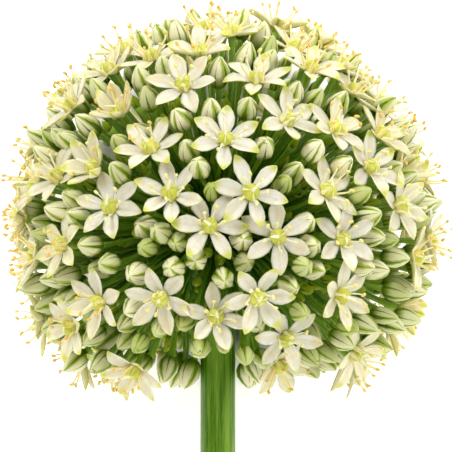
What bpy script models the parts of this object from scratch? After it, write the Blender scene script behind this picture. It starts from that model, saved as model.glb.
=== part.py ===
"""Allium flower head, cut and laid down.

A straight round scape carries one ball-shaped umbel, which is a single grown body: the receptacle, the
pedicels that fan out from it, closed buds, and open flowers with six tepals round a green ovary.

The flower has its own frame: the origin is the middle of the receptacle, +Y runs up the scape's axis to
the top of the head, +Z comes out of the head's front and +X points to its right. The empty flower_axis
lays that frame down, so that the head's pressed side and the lower edge of the scape's cut end rest on
the plane Z = 0, with the middle of the head straight above the world's origin.
"""

import math

import bmesh
import bpy
import numpy as np
from mathutils import Matrix, Vector

MM = 0.001

# The head
HEAD_RADIUS = 63.0 * MM  # of the ball that the outermost flowers and buds reach
HEAD_HEIGHT = 59.0 * MM  # of its middle above the surface, less than the radius, so that side is pressed flat
HEAD_LIFT = 8.5 * MM  # from the receptacle up to the middle of the ball
HEAD_SHIFT = 2.3 * MM  # from the scape's axis to the right, to the middle of the ball
UNDERSIDE = 41.5 * MM  # how far below the receptacle a flower could hang right beside the scape
UNDERSIDE_RISE = 10.0 * MM  # how much higher the underside is far out to the side
RECEPTACLE_RADIUS = 11.0 * MM
RECEPTACLE_FLAT = 9.0 * MM  # from its middle down to the flat that the scape meets

# The scape
SCAPE_LENGTH = 160.0 * MM  # from the receptacle's middle to the cut end
SCAPE_TOP_RADIUS = 4.9 * MM
SCAPE_END_RADIUS = 5.2 * MM
SCAPE_SIDES = 28
JOIN_GAP = 0.3 * MM  # between the scape's top and the receptacle's flat

# Where the flowers stand
LATTICE = 480  # even directions over the whole ball, before the underside is thinned
GOLDEN_ANGLE = math.pi * (3 - math.sqrt(5))
SEED = 33774
SCATTER = 0.06  # how far a flower strays from its even place, as a share of its distance
PARTING_BESIDE = 14.0  # degrees from the scape that stay bare to its left and right
PARTING_BEFORE = 58.0  # degrees from the scape that stay bare in front of it and behind it
SPARSE_WITHIN = 58.0  # degrees from the scape where every other flower is missing
HANGING = (-105, -70, 70, 105)  # degrees round the scape, from the front, of four buds that hang beside it
HANGING_FROM_SCAPE = 16.5  # degrees
BLOOMS = 106  # open flowers, at most
SPACING_AT_TOP = 10.0  # degrees, at least, between two open flowers there, before they are spread
SPACING_BELOW = 18.0  # and at the scape
NO_BLOOM_BY_SCAPE = 46.0  # degrees from the scape where only buds grow
NO_BLOOM_PRESSED = 24.0  # degrees round the pressed spot where only buds grow
BLOOM_ROOM = 6.8 * MM  # half the room that an open flower takes among its neighbours
BUD_ROOM = 3.2 * MM
SPREAD_STEPS = 40
SPREAD_PACE = 0.3  # of the overlap of two neighbours that one step takes away
BUDS_IN_TURN = 9
KEPT_BUDS = (0, 4)  # of each nine buds, the ones that are modelled

# One open flower
TEPAL_LENGTH = 10.4 * MM  # from the flower's middle to a tip
TEPAL_WIDEST = 5.8 * MM  # from the flower's middle to the widest place
TEPAL_HALF_WIDTH = 2.3 * MM
TEPAL_RIB = 1.0 * MM  # thickness along the midrib
RIB_PLACE = 0.8  # of the way to the widest place, where the rib is thickest
THROAT_RADIUS = 2.1 * MM  # where neighbouring tepals part
FLOWER_NECK = 2.8 * MM  # from the tepals down to the pedicel
OVARY_HEIGHT = 3.4 * MM
FLAT_OPEN = (8.0, 24.0)  # degrees that the tepals of a wide-open flower rise
CUPPED = (38.0, 58.0)  # degrees that those of a half-open one rise
CUPPED_SHARE = 0.16
STAMEN_ROOM = 5.2 * MM  # from the tepals out to the anthers, which end at the ball
BLOOM_DROP = 2.5 * MM  # how far short of the ball an open flower may stay
FACE_JITTER = 0.12  # how far an open flower's face leans, as a share of its direction

# One bud, a fifth larger than life, because fewer buds cover the head
BUD_LENGTH = 10.4 * MM
BUD_RADIUS = 3.8 * MM
BUD_WIDEST = 0.55  # of its length below the tip
BUD_DROP = 3.5 * MM  # how far short of the ball a bud may stay

# The pedicels
PEDICEL_RADIUS = 0.95 * MM  # at the flower
ROOT_RADIUS = 0.8 * MM
ROOT_DEPTH = 2.0 * MM  # sunk into the receptacle
LOWEST_ROOT = 52.0  # degrees from the scape at which the lowest pedicel leaves the receptacle

# The pressed side
REST_PRESS = 1.5 * MM  # how much of the bud below the head's middle is flattened
SIDE_PRESS = 0.5 * MM  # and of the other buds that touch the surface
NEAR_SURFACE = 0.4  # cosine of the angle from straight down within which an open flower is held up
GROUND_SIZE = 300 * MM
GROUND_DEPTH = 20 * MM

FLAT_ANGLE = math.radians(0.1)  # faces that meet at less than this are one flat face
SIX = np.arange(6) * math.pi / 3
TO_SCAPE = np.array([0.0, -1.0, 0.0])


def flower_tilt():
    """Slope of the scape, in radians, at which the lower edge of its cut end touches the surface."""
    run = HEAD_LIFT + SCAPE_LENGTH
    return math.asin(HEAD_HEIGHT / math.hypot(run, SCAPE_END_RADIUS)) - math.atan2(SCAPE_END_RADIUS, run)


TILT = flower_tilt()
DOWN = np.array([0.0, -math.sin(TILT), -math.cos(TILT)])  # straight down, in the flower's own frame
HEAD_MIDDLE = np.array([HEAD_SHIFT, HEAD_LIFT, 0.0])
RECEPTACLE_HEIGHT = HEAD_HEIGHT + HEAD_MIDDLE @ DOWN


# ---------------------------------------------------------------- where each flower stands


def unit(vectors):
    """The same vectors with a length of one."""
    return vectors / np.linalg.norm(vectors, axis=-1, keepdims=True)


def degrees_from(vectors, axis):
    """Angle between each unit vector and the axis."""
    return np.degrees(np.arccos(np.clip(vectors @ axis, -1, 1)))


def even_directions(rng):
    """Directions by the golden angle, every other one missing low down and none close to the scape."""
    index = np.arange(LATTICE)
    up = 1 - 2 * (index + 0.5) / LATTICE
    turn = index * GOLDEN_ANGLE + rng.uniform(0, 2 * math.pi)
    across = np.sqrt(1 - up**2)
    rays = np.column_stack((across * np.sin(turn), up, across * np.cos(turn)))
    from_scape = np.degrees(np.arccos(-up))
    bare = PARTING_BESIDE + (PARTING_BEFORE - PARTING_BESIDE) * np.cos(turn) ** 2
    grows = (from_scape > bare) & ((from_scape > SPARSE_WITHIN) | (index % 2 == 0))
    return rays[grows]


def hanging_directions():
    """Directions of the lowest buds, which hang close to the scape on its left and right."""
    tilt, turn = math.radians(HANGING_FROM_SCAPE), np.radians(HANGING)
    level = np.full(len(turn), -math.cos(tilt))
    return np.column_stack((math.sin(tilt) * np.sin(turn), level, math.sin(tilt) * np.cos(turn)))


def choose_blooms(rays, rng):
    """Which flowers are open: drawn one by one, none beside another, by the scape or on the pressed side."""
    allowed = degrees_from(rays, TO_SCAPE) > NO_BLOOM_BY_SCAPE
    allowed &= degrees_from(rays, DOWN) > NO_BLOOM_PRESSED
    closeness = rays @ rays.T
    nearest = np.cos(np.radians(SPACING_AT_TOP + (SPACING_BELOW - SPACING_AT_TOP) * (1 - rays[:, 1]) / 2))
    bloom = np.zeros(len(rays), bool)
    for k in rng.permutation(len(rays)):
        if bloom.sum() < BLOOMS and allowed[k] and not (closeness[k][bloom] > nearest[k]).any():
            bloom[k] = True
    return bloom


def spread(rays, bloom, fixed):
    """Pushes flowers that crowd each other apart, little by little, and leaves the fixed one in place."""
    room = np.where(bloom, BLOOM_ROOM, BUD_ROOM) / (HEAD_RADIUS - STAMEN_ROOM)
    wanted = room[:, None] + room[None, :]
    itself = np.eye(len(rays))
    for _ in range(SPREAD_STEPS):
        apart = rays[:, None] - rays[None, :]
        distance = np.linalg.norm(apart, axis=2) + itself
        push = np.clip(wanted / distance - 1, 0, None) * (1 - itself)
        move = SPREAD_PACE * (push[:, :, None] * apart).sum(axis=1)
        move[fixed] = 0
        rays = unit(rays + move)
    return rays


def reach(rays):
    """Distance from the receptacle to the head's outside: the ball, cut off by a flat cone low down."""
    along = rays @ HEAD_MIDDLE
    ball = along + np.sqrt(along**2 - HEAD_MIDDLE @ HEAD_MIDDLE + HEAD_RADIUS**2)
    level = UNDERSIDE - UNDERSIDE_RISE * np.hypot(rays[:, 0], rays[:, 2])
    return np.minimum(ball, level / np.clip(-rays[:, 1], 1e-6, None))


def roots(rays):
    """Where the pedicels leave the receptacle: as the flowers stand, but drawn up clear of the scape."""
    from_scape = degrees_from(rays, TO_SCAPE)
    share = (from_scape - PARTING_BESIDE) / (180 - PARTING_BESIDE)
    angle = np.radians(LOWEST_ROOT + share * (180 - LOWEST_ROOT))
    outward = unit(rays[:, [0, 2]])
    rooted = np.column_stack((np.sin(angle) * outward[:, 0], -np.cos(angle), np.sin(angle) * outward[:, 1]))
    return rooted * (RECEPTACLE_RADIUS - ROOT_DEPTH)


def best_turn(k, rays, bloom):
    """Turn of an open flower about its own axis that puts its neighbours in the gaps between its tepals.

    Each neighbour pulls on six times its bearing, the nearer the more, and the mean bearing then falls
    half a tepal's step from a tepal."""
    sideways, upward = axes_about(rays[k])
    apart = rays - rays[k]
    distance = np.linalg.norm(apart, axis=1) * HEAD_RADIUS
    near = (distance > 0) & (distance < 2.4 * BLOOM_ROOM)
    bearing = np.arctan2(apart[near] @ upward, apart[near] @ sideways)
    pull = np.exp(-distance[near] / BUD_ROOM) * np.where(bloom[near], 2, 1)
    mean = (pull * np.exp(6j * bearing)).sum()
    return (np.angle(mean) + math.pi) / 6


def axes_about(ray):
    """Two directions square to the ray and to each other."""
    sideways = unit(np.cross(np.array([0.0, 1.0, 0.0]), ray))
    return sideways, np.cross(ray, sideways)


# ---------------------------------------------------------------- the shape of one flower


def strip(lower, upper):
    """Triangles between a ring and the one above it, which has as many points or a multiple of them."""
    step = len(upper) // len(lower)
    half = step // 2
    faces = []
    for k, first in enumerate(lower):
        second = lower[(k + 1) % len(lower)]
        span = [upper[(step * k + j) % len(upper)] for j in range(step + 1)]
        faces += [(first, span[j + 1], span[j]) for j in range(half)]
        faces.append((first, second, span[half]))
        faces += [(second, span[j + 1], span[j]) for j in range(half, step)]
    return faces


def fan(ring, tip):
    """Triangles from a ring to one point above it."""
    return [(ring[k], ring[(k + 1) % len(ring)], tip) for k in range(len(ring))]


def ring_points(angles, radius, height):
    """Points at these angles round the flower's axis."""
    return np.column_stack((radius * np.cos(angles), radius * np.sin(angles), np.full(len(angles), height)))


class FlowerMesh:
    """Points and triangles of one closed body, gathered ring by ring, with the flower's axis along +Z.

    The first three points are the pedicel's root."""

    def __init__(self):
        self.points = []
        self.faces = []

    def add(self, points):
        """Adds points and returns their numbers."""
        first = len(self.points)
        self.points += [tuple(p) for p in points]
        return list(range(first, len(self.points)))

    def add_pedicel(self, top):
        """A three-sided pedicel, closed at its root, up to a ring of three points at this height."""
        three = SIX[::2]
        root = self.add(ring_points(three, ROOT_RADIUS, 0))
        neck = self.add(ring_points(three, PEDICEL_RADIUS, top))
        self.faces.append(tuple(reversed(root)))
        self.faces += strip(root, neck)
        return neck


def bud_shape():
    """A closed bud with six sides and its pointed tip at the origin, on its pedicel."""
    shape = FlowerMesh()
    neck = shape.add_pedicel(-BUD_LENGTH)
    belly = shape.add(ring_points(SIX, BUD_RADIUS, -BUD_WIDEST * BUD_LENGTH))
    tip = shape.add([(0, 0, 0)])
    shape.faces += strip(neck, belly) + fan(belly, tip[0])
    return shape


def bloom_shape(rise):
    """An open flower: six flat tepals that rise by this angle, each with a rib below, and the ovary.

    Each tepal lies in a plane that climbs away from the flower's axis, so neighbours share their notch.
    """
    shape = FlowerMesh()
    out, up = math.cos(rise), math.sin(rise)
    between = SIX + math.pi / 6
    notch_height = THROAT_RADIUS * math.cos(math.pi / 6) * up / out
    neck = shape.add_pedicel(-FLOWER_NECK)
    notch = shape.add(ring_points(between, THROAT_RADIUS, notch_height))
    ribs = []
    for k, turn in enumerate(SIX):
        right, left = notch[k - 1], notch[k]
        along = np.array([math.cos(turn) * out, math.sin(turn) * out, up])
        beneath = np.array([math.cos(turn) * up, math.sin(turn) * up, -out])
        across = np.array([-math.sin(turn), math.cos(turn), 0])
        wide_right, point, wide_left, rib = shape.add([
            along * TEPAL_WIDEST - across * TEPAL_HALF_WIDTH,
            along * TEPAL_LENGTH,
            along * TEPAL_WIDEST + across * TEPAL_HALF_WIDTH,
            along * TEPAL_WIDEST * RIB_PLACE + beneath * TEPAL_RIB,
        ])
        shape.faces += [(right, wide_right, left), (wide_right, wide_left, left)]
        shape.faces.append((wide_right, point, wide_left))
        shape.faces += [(right, rib, wide_right), (wide_right, rib, point)]
        shape.faces += [(point, rib, wide_left), (wide_left, rib, left)]
        ribs.append(rib)
    shape.faces += strip(neck, [number for pair in zip(ribs, notch) for number in pair])
    top = shape.add([(0, 0, notch_height + OVARY_HEIGHT)])
    shape.faces += fan(notch, top[0])
    return shape


# ---------------------------------------------------------------- the two pieces


def finish(name, colour, roughness):
    """A plain plant finish."""
    material = bpy.data.materials.new(name)
    material.use_nodes = True
    shader = material.node_tree.nodes["Principled BSDF"]
    shader.inputs["Base Color"].default_value = (*colour, 1)
    shader.inputs["Roughness"].default_value = roughness
    shader.inputs["Metallic"].default_value = 0
    return material


def placed(shape, root, middle, ray, turn):
    """A flower's points, with its middle here and its axis along the ray, and its pedicel led to the root."""
    sideways, upward = axes_about(ray)
    turned = Matrix((sideways, upward, ray)).transposed() @ Matrix.Rotation(turn, 3, "Z")
    rooted = [turned @ Vector((x, y, 0)) + Vector(root) for x, y, _ in shape.points[:3]]
    return rooted + [turned @ Vector(point) + Vector(middle) for point in shape.points[3:]]


class Head:
    """Every flower's direction, kind and distance from the receptacle, as arrays with one row a flower."""

    def __init__(self):
        rng = np.random.default_rng(SEED)
        even = even_directions(rng)
        rays = unit(even + rng.normal(0, SCATTER, even.shape))
        bloom = choose_blooms(rays, rng)
        even, rays = np.vstack((even, hanging_directions())), np.vstack((rays, hanging_directions()))
        self.bloom = np.append(bloom, np.zeros(len(HANGING), bool))
        to_rest = unit(HEAD_MIDDLE + HEAD_HEIGHT * DOWN)
        self.rest = int(np.argmax(rays @ to_rest))
        rays[self.rest] = to_rest
        self.rays = spread(rays, self.bloom, self.rest)
        self.roots = roots(even)
        self.outside = reach(self.rays)
        self.fall = self.rays @ DOWN
        sloping = np.clip(self.fall, 1e-6, None)
        self.to_surface = np.where(self.fall > 0, RECEPTACLE_HEIGHT / sloping, np.inf)
        self.pressed = self.to_surface < self.outside
        self.drop = rng.uniform(0, 1, len(rays))
        self.cupped = rng.uniform(0, 1, len(rays)) < CUPPED_SHARE
        self.openness = rng.uniform(0, 1, len(rays))
        self.leaning = rng.normal(0, FACE_JITTER, rays.shape)

    def open_flower(self, k):
        """Points and faces of one open flower, its face leaning a little and held clear of the surface."""
        low, high = CUPPED if self.cupped[k] else FLAT_OPEN
        rise = math.radians(low + (high - low) * self.openness[k])
        tallest = max(STAMEN_ROOM, TEPAL_LENGTH * math.sin(rise))
        out = self.outside[k] - tallest - BLOOM_DROP * self.drop[k]
        if self.fall[k] > NEAR_SURFACE:
            lowest = TEPAL_LENGTH * math.sin(math.acos(self.fall[k]) + rise)
            out = min(out, (RECEPTACLE_HEIGHT - lowest - SIDE_PRESS) / self.fall[k])
        shape = bloom_shape(rise)
        turn = best_turn(k, self.rays, self.bloom)
        axis = unit(self.rays[k] + self.leaning[k])
        return placed(shape, self.roots[k], self.rays[k] * out, axis, turn), shape.faces

    def bud(self, k):
        """Points and faces of one bud, whose tip reaches a little into the surface on the pressed side."""
        press = REST_PRESS if k == self.rest else SIDE_PRESS
        drop = 0 if self.pressed[k] else BUD_DROP * self.drop[k]
        out = min(self.outside[k] - drop, self.to_surface[k] + press)
        shape = bud_shape()
        turn = self.openness[k] * 2 * math.pi
        return placed(shape, self.roots[k], self.rays[k] * out, self.rays[k], turn), shape.faces

    def kept(self):
        """Numbers of the flowers that are modelled: all that are open, pressed or hanging, and some buds."""
        order = np.cumsum(~self.bloom)
        some = np.isin(order % BUDS_IN_TURN, KEPT_BUDS)
        some[-len(HANGING):] = True
        return np.flatnonzero(self.bloom | self.pressed | some)


def make_flowers(parent, collection):
    """One closed body for each flower and bud, as objects in the collection."""
    head = Head()
    for k in head.kept():
        points, faces = head.open_flower(k) if head.bloom[k] else head.bud(k)
        mesh = bpy.data.meshes.new(f"flower_{k}")
        mesh.from_pydata(points, [], faces)
        flower = bpy.data.objects.new(f"flower_{k}", mesh)
        flower.parent = parent
        collection.objects.link(flower)


def make_receptacle(parent, collection):
    """The swollen top of the scape: a ball with a flat where the scape meets it."""
    shape = bmesh.new()
    bmesh.ops.create_icosphere(shape, subdivisions=2, radius=RECEPTACLE_RADIUS)
    everything = list(shape.verts) + list(shape.edges) + list(shape.faces)
    flat = bmesh.ops.bisect_plane(
        shape, geom=everything, plane_co=(0, -RECEPTACLE_FLAT, 0), plane_no=(0, -1, 0), clear_outer=True
    )
    rim = [item for item in flat["geom_cut"] if isinstance(item, bmesh.types.BMEdge)]
    bmesh.ops.contextual_create(shape, geom=rim)
    bmesh.ops.recalc_face_normals(shape, faces=list(shape.faces))
    mesh = bpy.data.meshes.new("umbel")
    shape.to_mesh(mesh)
    shape.free()
    umbel = bpy.data.objects.new("umbel", mesh)
    umbel.parent = parent
    collection.objects.link(umbel)
    return umbel


def make_ground(collection):
    """The block below the surface, which flattens what is pressed on it."""
    shape = bmesh.new()
    bmesh.ops.create_cube(shape, size=1)
    bmesh.ops.scale(shape, vec=(GROUND_SIZE, GROUND_SIZE, GROUND_DEPTH), verts=shape.verts)
    bmesh.ops.translate(shape, vec=(0, 0, -GROUND_DEPTH / 2), verts=shape.verts)
    mesh = bpy.data.meshes.new("ground")
    shape.to_mesh(mesh)
    shape.free()
    ground = bpy.data.objects.new("ground", mesh)
    collection.objects.link(ground)
    return ground


def apply_boolean(target, operation, **operand):
    """Joins or cuts the target and keeps the result as its own mesh."""
    bpy.context.view_layer.update()
    modifier = target.modifiers.new(operation.lower(), "BOOLEAN")
    modifier.operation = operation
    modifier.solver = "MANIFOLD"
    for name, value in operand.items():
        setattr(modifier, name, value)
    graph = bpy.context.evaluated_depsgraph_get()
    result = bpy.data.meshes.new_from_object(target.evaluated_get(graph))
    target.modifiers.clear()
    target.data = result


def merge_flat_faces(mesh):
    """Takes out the cuts that the joins left across flat faces, and splits what remains in triangles."""
    shape = bmesh.new()
    shape.from_mesh(mesh)
    bmesh.ops.dissolve_limit(shape, angle_limit=FLAT_ANGLE, verts=shape.verts, edges=shape.edges)
    bmesh.ops.triangulate(shape, faces=shape.faces)
    shape.to_mesh(mesh)
    shape.free()


def make_umbel(parent, collection, cutters):
    """The whole head: the flowers joined to the receptacle, and the low buds flattened by the surface."""
    umbel = make_receptacle(parent, collection)
    make_flowers(parent, cutters)
    apply_boolean(umbel, "UNION", operand_type="COLLECTION", collection=cutters)
    for flower in list(cutters.objects):
        bpy.data.objects.remove(flower)
    ground = make_ground(cutters)
    apply_boolean(umbel, "DIFFERENCE", operand_type="OBJECT", object=ground)
    bpy.data.objects.remove(ground)
    merge_flat_faces(umbel.data)
    umbel.data.name = "umbel"
    umbel.data.materials.clear()
    umbel.data.materials.append(finish("flowers_and_buds", (0.72, 0.76, 0.42), 0.5))
    return umbel


def make_scape(parent, collection):
    """The straight round stem, a little wider towards its square cut end."""
    length = SCAPE_LENGTH - RECEPTACLE_FLAT - JOIN_GAP
    shape = bmesh.new()
    bmesh.ops.create_cone(
        shape, cap_ends=True, segments=SCAPE_SIDES, depth=length,
        radius1=SCAPE_END_RADIUS, radius2=SCAPE_TOP_RADIUS,
    )
    mesh = bpy.data.meshes.new("scape")
    shape.to_mesh(mesh)
    shape.free()
    mesh.shade_smooth()
    mesh.set_sharp_from_angle(angle=math.radians(40))
    mesh.materials.append(finish("scape_green", (0.17, 0.30, 0.055), 0.4))
    scape = bpy.data.objects.new("scape", mesh)
    scape.parent = parent
    scape.rotation_euler = (-math.pi / 2, 0, 0)
    scape.location = (0, -RECEPTACLE_FLAT - JOIN_GAP - length / 2, 0)
    collection.objects.link(scape)
    return scape


def make_axis(collection):
    """The empty that lays the flower down."""
    axis = bpy.data.objects.new("flower_axis", None)
    lying = Matrix.Rotation(TILT, 4, "X")
    axis.rotation_euler = (TILT, 0, 0)
    axis.location = Vector((0, 0, HEAD_HEIGHT)) - lying @ Vector(HEAD_MIDDLE)
    collection.objects.link(axis)
    return axis


def main():
    """Builds the flower head in an empty scene."""
    for old in list(bpy.data.objects):
        bpy.data.objects.remove(old)
    flower_head = bpy.data.collections.new("allium_flower_head")
    cutters = bpy.data.collections.new("cutters")
    for collection in (flower_head, cutters):
        bpy.context.scene.collection.children.link(collection)
    axis = make_axis(flower_head)
    make_scape(axis, flower_head)
    bpy.context.view_layer.update()
    make_umbel(axis, flower_head, cutters)


main()
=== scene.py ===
"""Looks of the cut allium flower head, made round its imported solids.

The head is one grown body: a receptacle, some 800 pedicels, closed buds, young buds between the pedicels
and open flowers with six tepals. Each flower stands where the solids have it, by the same seeded rule, and
the fine tepals, buds, ovaries and stamens made here replace the coarse ones. Lengths are in metres.

The flower has its own frame: its origin is the middle of the receptacle, +Y runs up the scape's axis, +Z
comes out of the head's front and +X points to its right. HeadPlan.to_world lays that frame down.
"""

import logging
import math
from collections.abc import Mapping, Sequence
from dataclasses import dataclass
from enum import Enum

import bpy
import numpy as np
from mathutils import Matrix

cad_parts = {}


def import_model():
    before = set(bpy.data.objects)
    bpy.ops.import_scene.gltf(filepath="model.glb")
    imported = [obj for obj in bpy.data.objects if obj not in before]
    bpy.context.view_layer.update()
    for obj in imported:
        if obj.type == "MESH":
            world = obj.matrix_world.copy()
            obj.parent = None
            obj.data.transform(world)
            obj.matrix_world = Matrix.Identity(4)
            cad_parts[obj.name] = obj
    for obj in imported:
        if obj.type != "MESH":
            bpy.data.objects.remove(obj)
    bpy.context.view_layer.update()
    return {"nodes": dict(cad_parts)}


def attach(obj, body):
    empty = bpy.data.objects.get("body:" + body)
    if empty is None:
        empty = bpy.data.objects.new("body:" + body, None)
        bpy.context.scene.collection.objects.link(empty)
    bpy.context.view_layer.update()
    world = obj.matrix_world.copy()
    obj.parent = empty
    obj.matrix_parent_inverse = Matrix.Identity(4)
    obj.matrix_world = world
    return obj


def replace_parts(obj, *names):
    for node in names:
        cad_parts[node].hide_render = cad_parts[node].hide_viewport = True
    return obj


MM = 0.001
GOLDEN_ANGLE = math.pi * (3 - math.sqrt(5))
WHOLE_TURN = 2 * math.pi
SIXTHS = np.arange(6) * math.pi / 3  # bearings of the parts of a flower
TO_SCAPE = np.array([0.0, -1.0, 0.0])
LEAST_FALL = 1e-6  # a level ray meets the surface far away, not nowhere
CUTICLE_IOR = 1.42
TISSUE_REACH = (1.0, 0.9, 0.6)  # red goes furthest through green tissue and blue the least
LOG = logging.getLogger("allium_flower_head")

Colour = tuple[float, float, float, float]
Socket = bpy.types.NodeSocket
Painted = tuple[Socket, Socket | None]
Pair = tuple[float, float]


class Slot(Enum):
    """Material slots, by name."""

    SCAPE = "scape_green"
    FLOWERS = "flowers_and_buds"


class Opening(Enum):
    """How far a flower has opened: the least and the most that its tepals rise, in degrees."""

    WIDE = (8.0, 24.0)
    CUPPED = (38.0, 58.0)


# ---------------------------------------------------------------- small helpers


def linear(colour: str) -> Colour:
    """Turns an sRGB hex colour to linear light.

    Args:
        colour: Such as "#90B157".

    Returns:
        Red, green, blue and an alpha of one.
    """
    parts = [int(colour[k : k + 2], 16) / 255 for k in (1, 3, 5)]
    red, green, blue = (c / 12.92 if c <= 0.04045 else ((c + 0.055) / 1.055) ** 2.4 for c in parts)
    return red, green, blue, 1.0


def unit(vectors: np.ndarray) -> np.ndarray:
    """The same vectors with a length of one."""
    return vectors / np.linalg.norm(vectors, axis=-1, keepdims=True)


def degrees_from(vectors: np.ndarray, axis: np.ndarray) -> np.ndarray:
    """Angle between each unit vector and the axis, in degrees."""
    return np.degrees(np.arccos(np.clip(vectors @ axis, -1, 1)))


def axes_about(rays: np.ndarray) -> tuple[np.ndarray, np.ndarray]:
    """Two directions square to each ray and to each other.

    Args:
        rays: Unit vectors, none of them along +Y.

    Returns:
        For each ray a sideways and an upward direction; sideways x upward = ray.
    """
    sideways = unit(np.cross(np.array([0.0, 1.0, 0.0]), rays))
    return sideways, np.cross(rays, sideways)


def turned(sideways: np.ndarray, upward: np.ndarray, angle: np.ndarray) -> tuple[np.ndarray, np.ndarray]:
    """Both directions, turned from the first towards the second.

    Args:
        sideways: The first direction, with x, y, z on the last axis.
        upward: The second, square to it.
        angle: In radians, with the same axes but the last.

    Returns:
        The first and the second direction after the turn.
    """
    cos, sin = np.cos(angle)[..., None], np.sin(angle)[..., None]
    return cos * sideways + sin * upward, cos * upward - sin * sideways


def ring_angles(columns: int) -> np.ndarray:
    """Angles of the points of a ring, and a whole turn after the last."""
    return np.arange(columns + 1) * WHOLE_TURN / columns


def smooth_step(low: float, high: float, value: np.ndarray) -> np.ndarray:
    """Zero below low, one above high, and an S-shaped way between them."""
    share = np.clip((value - low) / (high - low), 0, 1)
    return share * share * (3 - 2 * share)


# ---------------------------------------------------------------- where the flowers stand


@dataclass(frozen=True)
class HeadPlan:
    """Driving sizes of the flower, the same as its solids have."""

    head_radius: float = 63.0 * MM
    head_height: float = 59.0 * MM
    head_lift: float = 8.5 * MM
    head_shift: float = 2.3 * MM
    underside: float = 41.5 * MM
    underside_rise: float = 10.0 * MM
    receptacle_radius: float = 11.0 * MM
    receptacle_flat: float = 9.0 * MM
    scape_length: float = 160.0 * MM
    scape_top_radius: float = 4.9 * MM
    scape_end_radius: float = 5.2 * MM
    tepal_length: float = 10.4 * MM
    stamen_room: float = 5.2 * MM

    @property
    def tilt(self) -> float:
        """Slope of the scape, in radians, at which its cut end's lower edge touches the surface.

        Returns:
            The slope.
        """
        run = self.head_lift + self.scape_length
        reach = math.hypot(run, self.scape_end_radius)
        return math.asin(self.head_height / reach) - math.atan2(self.scape_end_radius, run)

    @property
    def down(self) -> np.ndarray:
        """Straight down, in the flower's frame."""
        return np.array([0.0, -math.sin(self.tilt), -math.cos(self.tilt)])

    @property
    def head_middle(self) -> np.ndarray:
        """Middle of the ball that the head fills, in the flower's frame."""
        return np.array([self.head_shift, self.head_lift, 0.0])

    @property
    def receptacle_height(self) -> float:
        """Height of the receptacle's middle above the surface."""
        return self.head_height + float(self.head_middle @ self.down)

    def to_world(self, points: np.ndarray) -> np.ndarray:
        """Lays points of the flower's frame down: turned about X by the tilt, the head over the origin.

        Args:
            points: Any array whose last axis is x, y, z.

        Returns:
            The same points in the world's frame.
        """
        cos, sin = math.cos(self.tilt), math.sin(self.tilt)
        turn = np.array([[1.0, 0.0, 0.0], [0.0, cos, -sin], [0.0, sin, cos]])
        return (points - self.head_middle) @ turn.T + np.array([0.0, 0.0, self.head_height])

    def above_surface(self, points: np.ndarray, clearance: float) -> np.ndarray:
        """Points of the flower's frame, those lower than the clearance raised to that height.

        Args:
            points: Any array whose last axis is x, y, z.
            clearance: The least height above the surface.

        Returns:
            The points, raised where they were lower.
        """
        height = self.receptacle_height - points @ self.down
        lift = np.clip(clearance - height, 0, None)
        return points - lift[..., None] * self.down


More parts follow.
